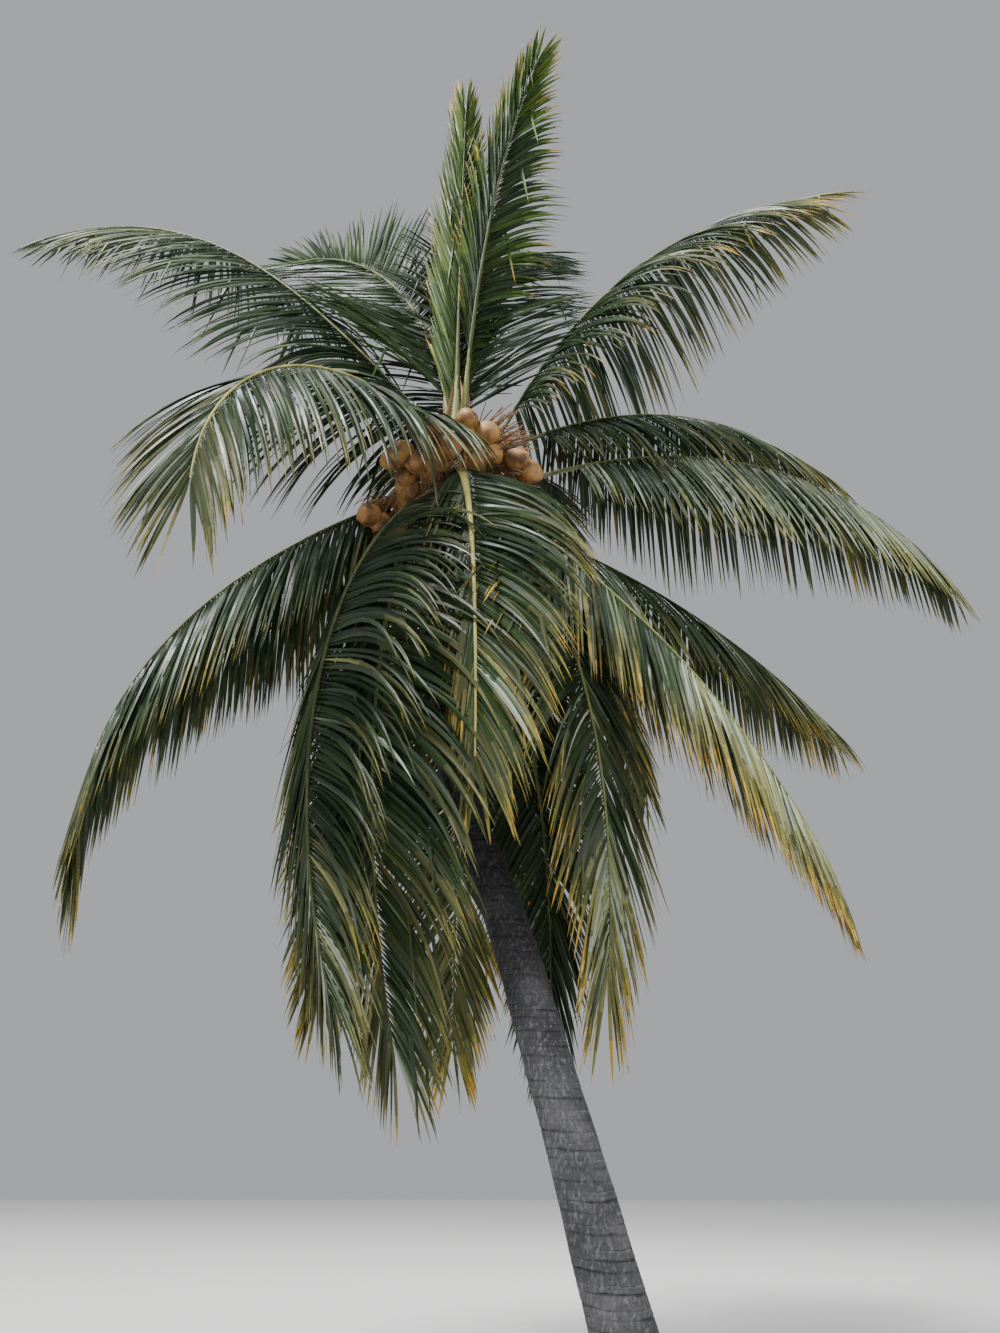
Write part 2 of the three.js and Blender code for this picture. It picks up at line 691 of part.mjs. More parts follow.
function addMesh(name, solid, colour, roughness) {
  const mesh = largest(solid.simplify(SIMPLIFY)).getMesh();
  const positions = new Float32Array(mesh.numVert * 3);
  for (let i = 0; i < mesh.numVert; i++) {
    positions.set(mesh.vertProperties.subarray(i * mesh.numProp, i * mesh.numProp + 3), i * 3);
  }
  const geometry = new THREE.BufferGeometry();
  geometry.setAttribute("position", new THREE.BufferAttribute(positions, 3));
  geometry.setIndex(new THREE.BufferAttribute(mesh.triVerts, 1));
  geometry.computeVertexNormals();
  const material = new THREE.MeshStandardMaterial({ color: colour, roughness, metalness: 0 });
  const shape = new THREE.Mesh(geometry, material);
  shape.name = name;
  group.add(shape);
}

const BARK = 0x8d8578;
const LEAF_BASE = 0x7a6647;
const YOUNG_LEAF = 0x86a83c;
const OLD_LEAF = 0x56703a;
const HUSK = 0xc98a3c;
const SHEATH_SKIN = 0x4a2a2c;

addMesh("trunk", trunk, BARK, 0.9);
addMesh("crown_heart", heart, LEAF_BASE, 0.85);
for (const [name, part] of fronds) {
  growLeaflets(name, part);
  let solid = makeFrond(part.stations, part.pointed);
  if (part.from === 0) solid = largest(cutClear(solid, part.index));
  addMesh(name, solid, part.young ? YOUNG_LEAF : OLD_LEAF, 0.5);
}
for (const [name, bunch] of bunches) addMesh(name, bunch, HUSK, 0.6);
addMesh("flower_sheath", sheath, SHEATH_SKIN, 0.6);

export default group;
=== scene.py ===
"""Coconut palm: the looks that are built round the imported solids.

Lengths are in metres and angles in degrees. Z is up, and the origin is the middle of the flat
cut at ground level. Azimuth 0 points along +X and 90 along +Y. The fronds, bunches and trunk
grow by the same rule and the same named values as the solids. A share of a part's length runs
from 0 at its foot to 1 at its tip.
"""
import math
from types import SimpleNamespace

import bpy
import numpy as np
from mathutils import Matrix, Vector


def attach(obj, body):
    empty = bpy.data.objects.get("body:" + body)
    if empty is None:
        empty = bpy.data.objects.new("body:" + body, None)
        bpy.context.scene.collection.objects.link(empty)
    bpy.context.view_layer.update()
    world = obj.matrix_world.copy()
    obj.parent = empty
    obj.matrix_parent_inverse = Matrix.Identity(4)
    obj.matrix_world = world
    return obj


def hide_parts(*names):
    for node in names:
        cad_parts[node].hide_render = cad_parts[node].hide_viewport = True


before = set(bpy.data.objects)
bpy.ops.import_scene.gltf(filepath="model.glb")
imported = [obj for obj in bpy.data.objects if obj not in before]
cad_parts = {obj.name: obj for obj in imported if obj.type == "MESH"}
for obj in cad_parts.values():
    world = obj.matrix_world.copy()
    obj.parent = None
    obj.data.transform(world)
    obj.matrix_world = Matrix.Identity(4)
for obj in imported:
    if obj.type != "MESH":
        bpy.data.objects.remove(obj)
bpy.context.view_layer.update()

UP = np.array([0.0, 0.0, 1.0])
BODY = "root"

# The turn from one leaf scar, old stalk, nut or twig to the next, in degrees and in radians
GOLDEN_ANGLE = 137.5
SPIRAL_TURN = 2.4

# Seeds of the chance draws
TRUNK_SEED = 31
HEART_SEED = 7
FROND_SEED = 100
BUNCH_SEED = 300

# Trunk
TRUNK_TOP = 5.84
TRUNK_RADIUS = 0.118
LOWER_SWELL = 0.036
SWELL_HEIGHT = 1.9
SWELL_POWER = 2.2
ROOT_FLARE = 0.062
FLARE_HEIGHT = 0.19
TRUNK_LINE = [
    (0, 0, 0),
    (-0.25, 0.32, 1.03),
    (-0.47, 0.6, 1.89),
    (-0.72, 0.93, 2.81),
    (-1.0, 1.2, 3.65),
    (-1.12, 1.4, 4.6),
    (-1.1, 1.5, 5.84),
]
CURVE_STEPS = 60
TRUNK_SIDES = 64
# Each row of lumps: its height, the lumps round the trunk, and how they turn with the height
TRUNK_LUMPS = [(0.003, 2, 3.1), (0.002, 5, -7), (0.0012, 9, 17)]
LEVEL_ENDS = 0.25

# Leaf scars of the trunk
SCAR_FIRST = 0.012
SCAR_END_GAP = 0.05
SCAR_SPACING_LOW = 0.047
SCAR_SPACING_HIGH = 0.03
SCAR_DEPTH = 0.0042
SCAR_TILT = 0.011
SCAR_TILT_TURN = 1.9
SCAR_SKEW = 0.005
SCAR_STRENGTHS = (0.35, 1)
# The cut of a scar: places as shares of the spacing, and heights as shares of the depth
SCAR_PROFILE = [(0, -1), (0.1, 0.45), (0.26, 0.3), (0.6, 0.05), (0.88, -0.1)]

# Heart of the crown
CROWN = np.array([-1.1, 1.5, 6.2])
HEART_RADIUS = 0.15
HEART_TAPER = 0.2
HEART_TIP_RADIUS = 0.016
HEART_TOP = 0.64
ROOT_DEPTH = 0.03

# Ribs of the fronds
PETIOLE_WIDTH = 0.084
PETIOLE_DEPTH = 0.056
TIP_WIDTH = 0.011
RIB_TAPER = 0.5
ROLL_SHARE = 0.4
YOUNG_LEVEL = 0.34
YOUNG_SIZE = 0.8
LINE_STEPS = 144
SPLIT_BEND = 72

# Leaflets
LEAFLET_LENGTH = 1.06
LEAFLET_WIDTH = 0.038
LEAFLET_SPACING = 0.026
LEAFLET_THICKNESS = 0.0016
LEAFLET_SIDES = 4
ROOT_ANGLE = 72
TIP_ANGLE = 22
LEAST_ANGLE = 11
CLOSING_POWER = 1.3
SAG_POWER = 1.8
TIP_STIFFNESS = 0.6
STIFFNESS_POWER = 4
KINK_PULL = 3.5
NO_KINK = 2
NARROW_SHARE = 0.7
RING_SHARES = np.array([0, 0.05, 0.13, 0.24, 0.36, 0.48, 0.6, 0.71, 0.82, 0.92, 1])
WIDTH_SHARES = np.array([0.34, 0.66, 0.95, 1, 0.98, 0.9, 0.78, 0.62, 0.42, 0.22, 0.03])
FOLD_ANGLES = np.array([62, 48, 36, 28, 24, 22, 20, 20, 20, 22, 22])

# How leaflets differ by chance: ranges as shares, and angles
PLACE_RANGE = (-0.2, 0.2)
HAND_SHIFT = 0.25
SWAY_ANGLE = 4
SWAY_SCATTER = 1.8
LIFT_ANGLE = 5
LIFT_SCATTER = 4
LENGTH_RANGE = (0.9, 1.04)
LIMP_RANGE = (0.8, 1.25)
KINK_RANGE = (0.25, 0.75)
WIDTH_RANGE = (0.8, 1.15)
TWIST_SCATTER = 16
TIP_TWIST_SCATTER = 42
TIP_TWIST_POWER = 1.5

# Bunches of nuts
NUT_RADIUS = 0.092
NUT_HALF_HEIGHT = 0.112
NUT_SIDES = 20
NUT_RINGS = 18
NUT_TRIES = 160
NUT_REACH = 0.55
NUT_STEP = 0.381
NUT_MATCH = 0.003
INNER_LAYER = 0.8
OUTER_LAYER = 1.9
HUSK_SHARE = 0.9
CAP_SIDES = 18
# The cap's outline: places along the nut and radii, as shares of the nut's half height and radius
CAP_PROFILE = [(-1.08, 0.1), (-1.07, 0.3), (-1.0, 0.44), (-0.86, 0.52), (-0.9, 0.4), (-0.96, 0.15)]
STALK_RADIUS = 0.026
STALK_POWER = 0.8
STALK_STEPS = 12
STALK_TWIGS = 24
RIGHT_STALK_TWIGS = 70
TWIG_STEPS = 6
TWIG_SIDES = 5
FAN_TWIGS = 130
FAN_AZIMUTHS = (-50, 20)
FAN_LEVELS = (0.06, 0.34)

# Flower sheath
SHEATH_FOOT = np.array([-0.035, -0.095, 0.3])
SHEATH_ALONG = np.array([-0.3, -0.42, 0.86])
SHEATH_LENGTH = 0.33
SHEATH_RADIUS = 0.034
SHEATH_SIDES = 28
SHEATH_RINGS = 30
SHEATH_GROOVES = 14
SHEATH_BOW = 0.02


def frond_row(number, azimuth, level, length, bend, droop, blade, habit, look):
    """One frond: how its rib bends, how its leaflets droop and spread, and its colours.

    The habit is the bare share of the rib, the leaflets' size, how far the blade is turned
    about its rib, and how much more the leaflets of its first side spread than the others.
    The look is the tint of rib and leaflets, how yellow the leaflets are at their roots, how
    much more towards their tips, the share of them that are kinked, and how readily their upper
    sides get paler tints as a painted sheen.
    """
    rise, fall, power = bend
    hang, limp = droop
    vee, spread = blade
    bare, size, roll, lean = habit
    tint, yellow, tips, kinked, painted_sheen = look
    return SimpleNamespace(
        number=number, azimuth=azimuth, level=level, length=length, young=level >= YOUNG_LEVEL,
        rise=rise, fall=fall, power=power, hang=hang, limp=limp, vee=vee, spread=spread,
        bare=bare, size=size, roll=roll, lean=lean,
        tint=tint, yellow=yellow, tips=tips, kinked=kinked, painted_sheen=painted_sheen,
    )


# The fronds of each part of the crown, with the values that frond_row names
FRONDS = {
    "upright": [
        (1, 280, 0.6, 3.55, (89, 4, 1.5), (0, 0), (25, 0.32), (0.06, 1, 0, 0.3),
         ("young", 0.2, 0.6, 0.03, 0)),
        (2, 335, 0.4, 4.3, (86, 16, 1.8), (0, 0.6), (15, 0.4), (0.22, 0.95, -40, 0.5),
         ("young", -0.02, 0.85, 0.02, 0)),
        (3, 60, 0.5, 4, (84, 52, 1.8), (0, 0.45), (5, 0.9), (0.06, 1.1, 40, 0),
         ("green", 0.04, 0.2, 0.04, 0.1)),
        (8, 147, 0.5, 4.3, (80, 66, 1.5), (0, 0.15), (5, 0.85), (0.1, 1.15, -65, 0),
         ("young", 0.04, 0.2, 0.02, 0.1)),
    ],
    "right": [
        (4, 2, -0.01, 4.65, (67, 53, 1.75), (0.5, 1.4), (-20, 1), (0.18, 1.2, 0, 0),
         ("green", 0.12, 0.7, 0.06, 0.2)),
        (5, 25, 0.22, 4.15, (40, 65, 1.75), (1, 2.2), (-5, 1), (0.22, 1, 0, 0),
         ("green", 0.16, 0.45, 0.04, 0.25)),
        (6, 14, -0.08, 4.55, (30, 81, 1.6), (1.6, 2.2), (-10, 1), (0.22, 1.1, 0, 0),
         ("green", 0.14, 0.5, 0.05, 0.75)),
    ],
    "left": [
        (7, 174, 0.42, 4.8, (53, 62, 3), (0.35, 1.1), (-5, 1.25), (0.06, 1.35, -45, 0),
         ("green", 0.04, 0.45, 0.12, 0.45)),
        (9, 235, 0.4, 3.2, (0, 92, 1.45), (0.5, 1.6), (0, 1.2), (0.07, 1.2, -30, 0),
         ("pale", 0.14, 0.5, 0.03, 0.08)),
        (10, 187, 0, 3.95, (-27, 72, 1.65), (1.2, 2.2), (-15, 1), (0.1, 1.1, 0, 0),
         ("green", 0.04, 0.7, 0.03, 0.1)),
    ],
    "front": [
        (11, 231, -0.02, 4.15, (-43, 71, 1), (0.1, 1.7), (-15, 1.2), (0.13, 1.1, 18, 0.25),
         ("dark", 0.12, 0.5, 0.05, 0.12)),
        (12, 250, -0.15, 4.25, (-38, 80, 0.82), (0.1, 1.7), (-15, 1), (0.15, 1.1, 12, 0.2),
         ("dark", 0.14, 0.5, 0.06, 0.12)),
        (13, 280, 0.08, 3.1, (-20, 71, 0.5), (0.2, 1.6), (-10, 0.75), (0.06, 1.05, 35, 0.55),
         ("pale", 0.14, 0.7, 0.08, 0.1)),
        (14, 326, -0.13, 3.85, (-36, 60, 0.58), (0, 1.1), (-5, 1), (0.1, 1.1, 0, 0),
         ("green", 0.14, 0.85, 0.05, 0.25)),
    ],
    "low": [
        (15, 340, 0.02, 3.9, (-46, 24, 1.65), (1.2, 2.1), (0, 1), (0.08, 1.05, 0, 0),
         ("green", 0.18, 0.85, 0.06, 0.45)),
        (16, 29, -0.2, 3.75, (2, 36, 1), (1.2, 2), (-5, 1), (0.15, 1.05, 0, 0),
         ("green", 0.16, 0.65, 0.04, 0.3)),
        (17, 90, -0.24, 4.1, (-15, 80, 0.5), (0.1, 1), (-15, 0.9), (0.15, 1, 0, 0),
         ("green", 0.34, 0.6, 0.08, 0.2)),
        (18, 48, -0.225, 3.8, (-52, 43, 0.8), (0.1, 1), (-15, 0.9), (0.15, 1, 0, 0),
         ("green", 0.08, 0.4, 0.04, 0.1)),
    ],
    "far": [
        (19, 98, 0.34, 4.6, (50, 85, 1.6), (0.5, 1.2), (0, 1), (0.15, 1, 0, 0),
         ("green", 0.1, 0.3, 0.04, 0.4)),
        (20, 108, 0.06, 4.4, (15, 80, 1.3), (1, 1.5), (-10, 1), (0.15, 1, 0, 0),
         ("green", 0.16, 0.45, 0.04, 0.4)),
        (21, 150, -0.1, 3.2, (-4, 36, 1.3), (1.2, 1.8), (-10, 1), (0.15, 1, 0, 0),
         ("green", 0.14, 0.45, 0.04, 0.4)),
        (22, 62, 0.05, 4.3, (12, 70, 1.3), (1, 1.5), (-10, 1), (0.15, 1, 0, 0),
         ("green", 0.16, 0.45, 0.04, 0.4)),
        (23, 75, 0.21, 4.6, (45, 80, 1.6), (0.5, 1.2), (-5, 1), (0.15, 1, 0, 0),
         ("green", 0.12, 0.35, 0.04, 0.4)),
        (24, 122, -0.16, 4, (-25, 65, 0.8), (0.2, 1.2), (-20, 1), (0.15, 1, 0, 0),
         ("green", 0.24, 0.6, 0.06, 0.4)),
        (25, 68, -0.11, 3.8, (-30, 62, 0.8), (0.2, 1.2), (-20, 1), (0.15, 1, 0, 0),
         ("green", 0.22, 0.6, 0.06, 0.3)),
    ],
}


def bunch_row(name, azimuth, level, rise, fall, length):
    """One bunch: where its stalk leaves the heart, how it bends and how long it is."""
    return SimpleNamespace(name=name, azimuth=azimuth, level=level, rise=rise, fall=fall,
                           length=length, power=STALK_POWER, roll=0)


# The bunches, with the values that bunch_row names
BUNCHES = [
    ("left", 198, 0.13, -15, 70, 0.85),
    ("front_left", 238, 0.16, 5, 80, 0.55),
    ("front", 285, 0.255, 0, 80, 0.45),
    ("right", 335, 0.12, 0, 80, 0.6),
    ("back", 85, 0.03, 0, 85, 0.62),
    ("back_left", 165, 0.12, 0, 85, 0.62),
]


# Small helpers for directions and for repeatable chance
def unit(vectors):
    """Vectors brought to length 1."""
    return vectors / np.linalg.norm(vectors, axis=-1, keepdims=True)


def lerp(a, b, share):
    """The value at a share of the way from a to b."""
    return a + (b - a) * share


def outward(azimuth):
    """The level direction at an azimuth in radians."""
    return np.array([math.cos(azimuth), math.sin(azimuth), 0])


def circle(sides):
    """Even angles round a full turn, in radians."""
    return 2 * np.pi * np.arange(sides) / sides


def square_to(axis):
    """Two directions at right angles to an axis and to each other."""
    first = unit(np.cross(axis, UP if abs(axis[2]) < 0.9 else np.array([1.0, 0, 0])))
    return first, np.cross(axis, first)


def chance(a, b):
    """The same repeatable number from 0 to 1 that the solids are grown with."""
    x = math.sin(a * 127.1 + b * 311.7 + 74.7) * 43758.5453
    return x - math.floor(x)


def waves(shares, rng, cycles):
    """A smooth random curve between about -1 and 1 over shares of a length."""
    total = np.zeros_like(shares)
    for k in range(1, 4):
        total += np.sin(2 * np.pi * (cycles * k * shares / 2 + rng.random())) / k
    return total / 1.5


# Gathering of corners and faces, and the making of a piece from them
class Shape:
    """Corners and faces of many small parts that become one piece."""

    def __init__(self):
        self.corners = []
        self.faces = []
        self.count = 0

    def add(self, corners, *faces):
        """Adds corners, and faces as pairs of an index array and a material number or array."""
        for indexes, tint in faces:
            tints = np.broadcast_to(np.asarray(tint, dtype=np.int32), (len(indexes),))
            self.faces.append((np.asarray(indexes) + self.count, tints))
        self.corners.append(np.asarray(corners, dtype=float))
        self.count += len(corners)


def add_object(name, data):
    """Puts data into the scene as an object."""
    added = bpy.data.objects.new(name, data)
    bpy.context.scene.collection.objects.link(added)
    return added


def make_piece(name, shape, materials, nodes, sharp_angle=None):
    """Turns a shape into a piece that rides on the palm and stands for the given solids."""
    mesh = bpy.data.meshes.new(name)
    corners = np.concatenate(shape.corners)
    mesh.vertices.add(len(corners))
    mesh.vertices.foreach_set("co", corners.astype(np.float32).ravel())
    sizes = np.concatenate([np.full(len(f), f.shape[1]) for f, _ in shape.faces])
    loops = np.concatenate([f.ravel() for f, _ in shape.faces]).astype(np.int32)
    tints = np.concatenate([t for _, t in shape.faces])
    used, numbers = np.unique(tints, return_inverse=True)
    mesh.loops.add(len(loops))
    mesh.loops.foreach_set("vertex_index", loops)
    mesh.polygons.add(len(sizes))
    mesh.polygons.foreach_set("loop_start", (np.cumsum(sizes) - sizes).astype(np.int32))
    mesh.polygons.foreach_set("material_index", numbers.astype(np.int32))
    mesh.update(calc_edges=True)
    mesh.shade_smooth()
    if sharp_angle:
        mesh.set_sharp_from_angle(angle=math.radians(sharp_angle))
    for number in used:
        mesh.materials.append(materials[number])
    piece = add_object(name, mesh)
    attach(piece, BODY)
    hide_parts(*nodes)
    return piece


def ring_of(centre, first, second, angle, radius):
    """Corners round a centre at angles from the first direction towards the second."""
    return centre + radius * (np.cos(angle)[:, None] * first + np.sin(angle)[:, None] * second)


def ring_faces(rings, sides):
    """Side faces between consecutive rings of corners, and the two end faces."""
    row = np.arange(sides)
    turn = (row + 1) % sides
    lower = (np.arange(rings - 1) * sides)[:, None]
    upper = lower + sides
    quads = np.stack([lower + row, lower + turn, upper + turn, upper + row], axis=-1)
    last = (rings - 1) * sides
    return quads.reshape(-1, 4), row[None, ::-1], (last + row)[None, :]


def add_body(shape, rows, tint, tip_tint):
    """A closed body whose skin runs through rows of corners."""
    quads, foot, tip = ring_faces(len(rows), len(rows[0]))
    shape.add(np.concatenate(rows), (quads, tint), (foot, tint), (tip, tip_tint))


def add_tube(shape, points, radii, sides, tint, flatten=1.0):
    """A round stem through points, with a radius at each."""
    points = np.asarray(points, dtype=float)
    ways = unit(np.gradient(points, axis=0))
    across = np.cross(UP, ways[0])
    if np.linalg.norm(across) < 0.05:
        across = np.array([1.0, 0.0, 0.0])
    angle = circle(sides)[:, None]
    rows = []
    for point, way, radius in zip(points, ways, radii):
        across = unit(across - way * np.dot(across, way))
        above = np.cross(way, across)
        rows.append(point + radius * (np.cos(angle) * across + flatten * np.sin(angle) * above))
    add_body(shape, rows, tint, tint)


def sagging_path(point, way, length, steps, sag, scatter, rng):
    """A thin stem's points: at each step it sags by a chance amount and strays a little."""
    path = [point]
    for _ in range(steps):
        path.append(path[-1] + way * length / steps)
        way = unit(way - UP * rng.uniform(*sag) + rng.normal(0, scatter, 3))
    return path


# The growth of ribs and stalks
def heart_radius(level):
    """The heart's radius at a level above the crown's middle."""
    return np.maximum(HEART_TIP_RADIUS, HEART_RADIUS - HEART_TAPER * np.maximum(0, level))


def grow_line(part, steps):
    """The middle line of a rib or stalk, with its growth, side and upper directions."""
    out = outward(math.radians(part.azimuth))
    side = np.array([-out[1], out[0], 0])
    shares = np.arange(steps + 1) / steps
    slopes = np.radians(part.rise - part.fall * shares ** part.power)[:, None]
    middles = np.radians(part.rise - part.fall * ((np.arange(steps) + 0.5) / steps) ** part.power)
    moves = np.cos(middles)[:, None] * out + np.sin(middles)[:, None] * UP
    foot = CROWN + out * (heart_radius(part.level) - ROOT_DEPTH) + UP * part.level
    points = foot + np.vstack([np.zeros(3), np.cumsum(moves, axis=0) * part.length / steps])
    upper = -np.sin(slopes) * out + np.cos(slopes) * UP
    roll = (math.radians(part.roll) * np.minimum(1, shares / ROLL_SHARE))[:, None]
    return SimpleNamespace(
        shares=shares,
        point=points,
        along=np.cos(slopes) * out + np.sin(slopes) * UP,
        upper=np.cos(roll) * upper - np.sin(roll) * side,
        side=np.cos(roll) * side + np.sin(roll) * upper,
    )


def at(line, shares):
    """The state of a line at shares of its length."""
    def between(values):
        return np.stack([np.interp(shares, line.shares, values[:, k]) for k in range(3)], axis=-1)
    return SimpleNamespace(
        point=between(line.point),
        along=unit(between(line.along)),
        upper=unit(between(line.upper)),
        side=unit(between(line.side)),
    )


def rib_size(shares, young):
    """Half the width and half the depth of a rib at shares of its length."""
    size = YOUNG_SIZE if young else 1
    t = shares ** RIB_TAPER
    width = lerp(size * PETIOLE_WIDTH, TIP_WIDTH, t)
    depth = lerp(size * PETIOLE_DEPTH, TIP_WIDTH, t)
    return width / 2, depth / 2


# Leaf tints, dealt out leaflet by leaflet and along each leaflet
LEAF_TINTS = {
    "deep": (0.008, 0.018, 0.005),
    "deep_blue": (0.013, 0.024, 0.011),
    "green": (0.019, 0.036, 0.01),
    "green_grey": (0.035, 0.049, 0.027),
    "olive": (0.05, 0.057, 0.019),
    "khaki": (0.098, 0.094, 0.035),
    "fresh": (0.027, 0.057, 0.007),
    "lime": (0.066, 0.102, 0.01),
    "yellow_green": (0.165, 0.152, 0.03),
    "gold": (0.35, 0.21, 0.03),
    "straw": (0.42, 0.3, 0.11),
    "brown": (0.15, 0.075, 0.028),
    # The last three tints are paler ones painted on upper sides as a sheen
    "painted_silver_sheen_green": (0.11, 0.14, 0.085),
    "painted_silver_sheen": (0.25, 0.275, 0.205),
    "painted_silver_sheen_olive": (0.17, 0.175, 0.07),
}
LEAF_NAMES = list(LEAF_TINTS)

# Steps of yellowing, each with its usual and its second tint
MATURE_SERIES = ["deep deep_blue", "green green_grey", "olive green_grey", "khaki olive",
                 "yellow_green khaki", "gold yellow_green", "gold straw", "straw brown"]
YOUNG_SERIES = ["green deep", "fresh green", "lime fresh", "lime fresh",
                "yellow_green lime", "gold yellow_green", "gold straw", "straw brown"]
LAST_STEP = 7.99
YELLOW_STEP = 0.15
YELLOW_WAVE = 0.1
YELLOW_SCATTER = 0.07
FROND_TIP_YELLOW = 0.35
FROND_TIP_POWER = 3
LEAFLET_TIP_YELLOW = 1.05
LEAFLET_TIP_POWER = 2.6
SECOND_TINT_SHARE = 0.38

# Paler tints painted on the upper sides of leaflets as a sheen, and where along a frond this
# painted sheen falls
PAINTED_SHEEN_TINTS = {
    "deep": "green_grey", "deep_blue": "painted_silver_sheen_green", "green": "painted_silver_sheen_green",
    "green_grey": "painted_silver_sheen", "olive": "painted_silver_sheen_olive", "fresh": "painted_silver_sheen_olive",
}
PAINTED_SHEEN = np.array([LEAF_NAMES.index(PAINTED_SHEEN_TINTS.get(name, name)) for name in LEAF_NAMES])
PAINTED_SHEEN_RISE = 0.6
PAINTED_SHEEN_WAVE = 0.25
PAINTED_SHEEN_SCATTER = 0.12
PAINTED_SHEEN_LIMIT = 0.5


def tint_table(series):
    """Two leaf tint numbers for each step of yellowing."""
    rows = [step.split() for step in series]
    return np.array([[LEAF_NAMES.index(name) for name in row] for row in rows])


def leaflet_share(q, bare):
    """How long a leaflet is at a share of the blade, as a share of the longest.

    The first leaflets are shorter on a rib whose foot is bare for longer.
    """
    root = np.minimum(1, np.interp(bare, [0.06, 0.2], [0.75, 0.45]) + 2.6 * q)
    return root * (1 - 0.5 * np.maximum(0, (q - 0.35) / 0.65) ** 1.6)


def leaflet_places(pairs, hand, rng):
    """Shares of the blade at which the leaflets of one side stand, with one at its very tip."""
    steps = np.arange(pairs) + 0.5 + HAND_SHIFT * hand + rng.uniform(*PLACE_RANGE, pairs)
    return np.append(np.clip(steps / pairs, 0, 1), 1)


def leaflet_starts(frond, here, q, hand, rng):
    """The directions in which the leaflets of one side leave the rib."""
    closing = ROOT_ANGLE - (ROOT_ANGLE - TIP_ANGLE) * q ** CLOSING_POWER
    spread = frond.spread * (1 + hand * frond.lean) * closing
    sway = (SWAY_ANGLE * waves(q, rng, 9) * np.minimum(1, frond.spread)
            + rng.normal(0, SWAY_SCATTER, len(q)))
    phi = np.radians(np.maximum(LEAST_ANGLE, spread) + sway)
    phi[-1] *= 0.5
    lift = frond.vee + LIFT_ANGLE * waves(q, rng, 7) + rng.normal(0, LIFT_SCATTER, len(q))
    vee = np.radians(lift)[:, None]
    phi = phi[:, None]
    return (here.along * np.cos(phi) + here.side * hand * np.sin(phi) * np.cos(vee)
            + here.upper * np.sin(phi) * np.sin(vee))


def leaflet_paths(frond, q, root, start, length, rng):
    """The leaflets' points and directions from root to tip, as they sag and, if kinked, snap."""
    count = len(q)
    limp = frond.limp * rng.uniform(*LIMP_RANGE, count)
    stiff = 1 - TIP_STIFFNESS * q ** STIFFNESS_POWER
    kink = np.where(rng.random(count) < frond.kinked, rng.uniform(*KINK_RANGE, count), NO_KINK)
    points = [root]
    ways = []
    for first, last in zip(RING_SHARES, RING_SHARES[1:]):
        middle = (first + last) / 2
        pull = stiff * (frond.hang + limp * middle ** SAG_POWER) + KINK_PULL * (middle > kink)
        way = unit(start - UP * pull[:, None])
        ways.append(way)
        points.append(points[-1] + way * (length * (last - first))[:, None])
    tangents = [ways[0]] + [unit(a + b) for a, b in zip(ways, ways[1:])] + [ways[-1]]
    return points, tangents


def leaflet_corners(frond, here, q, points, tangents, rng):
    """The corners of folded blades whose width lies along the rib and turns towards the tip."""
    count = len(q)
    slant = np.sum(here.along * tangents[0], axis=1)[:, None]
    width_way = unit(here.along - tangents[0] * slant)
    facing = np.sum(np.cross(tangents[0], width_way) * (here.upper + 0.3 * UP), axis=1)
    width_way = width_way * np.where(facing < 0, -1, 1)[:, None]
    twist = rng.normal(0, TWIST_SCATTER, count)
    tip_twist = rng.normal(0, TIP_TWIST_SCATTER, count)
    breadth = lerp(NARROW_SHARE, 1, leaflet_share(q, frond.bare))
    size = LEAFLET_WIDTH * breadth * rng.uniform(*WIDTH_RANGE, count)
    rows = []
    for j, (point, tangent) in enumerate(zip(points, tangents)):
        width_way = unit(width_way - tangent * np.sum(width_way * tangent, axis=1)[:, None])
        normal = np.cross(tangent, width_way)
        turn = np.radians(twist + tip_twist * RING_SHARES[j] ** TIP_TWIST_POWER)[:, None]
        across = width_way * np.cos(turn) + normal * np.sin(turn)
        above = np.cross(tangent, across)
        half = (size * WIDTH_SHARES[j] / 2)[:, None]
        fold = math.radians(FOLD_ANGLES[j])
        drop = above * half * math.sin(fold)
        thick = above * LEAFLET_THICKNESS / 2
        edge = across * half * math.cos(fold)
        rows.append(np.stack([point + edge - drop, point + thick,
                              point - edge - drop, point - thick], axis=1))
    return np.stack(rows, axis=1).reshape(-1, 3)


def leaflet_tints(frond, q, rng):
    """The tint of every side face, and of the root and tip of each leaflet.

    The yellowing grows along the frond and along each leaflet. Only upper sides get the paler tints
    of a painted sheen.
    """
    count = len(q)
    middles = (RING_SHARES[1:] + RING_SHARES[:-1]) / 2
    yellow = frond.yellow + YELLOW_WAVE * waves(q, rng, 5) + rng.normal(0, YELLOW_SCATTER, count)
    dryness = 0.45 + 0.75 * rng.random(count)[:, None]
    tips = FROND_TIP_YELLOW * q[:, None] ** FROND_TIP_POWER
    tips = tips + LEAFLET_TIP_YELLOW * middles ** LEAFLET_TIP_POWER * dryness
    yellow = yellow[:, None] + frond.tips * tips
    step = np.clip(yellow / YELLOW_STEP, 0, LAST_STEP).astype(int)
    second = (rng.random(count) < SECOND_TINT_SHARE).astype(int)[:, None]
    series = YOUNG_SERIES if frond.tint == "young" else MATURE_SERIES
    tints = tint_table(series)[step, second]
    # Painted sheen: leaflets past the limit get paler tints on their upper faces
    sheen = frond.painted_sheen + PAINTED_SHEEN_RISE * (q - 0.5) + PAINTED_SHEEN_WAVE * waves(q, rng, 6)
    painted_sheen_on = sheen + rng.normal(0, PAINTED_SHEEN_SCATTER, count) > PAINTED_SHEEN_LIMIT
    upper = np.where(painted_sheen_on[:, None], PAINTED_SHEEN[tints], tints)
    return np.stack([upper, upper, tints, tints], axis=-1).ravel(), tints[:, 0], tints[:, -1]


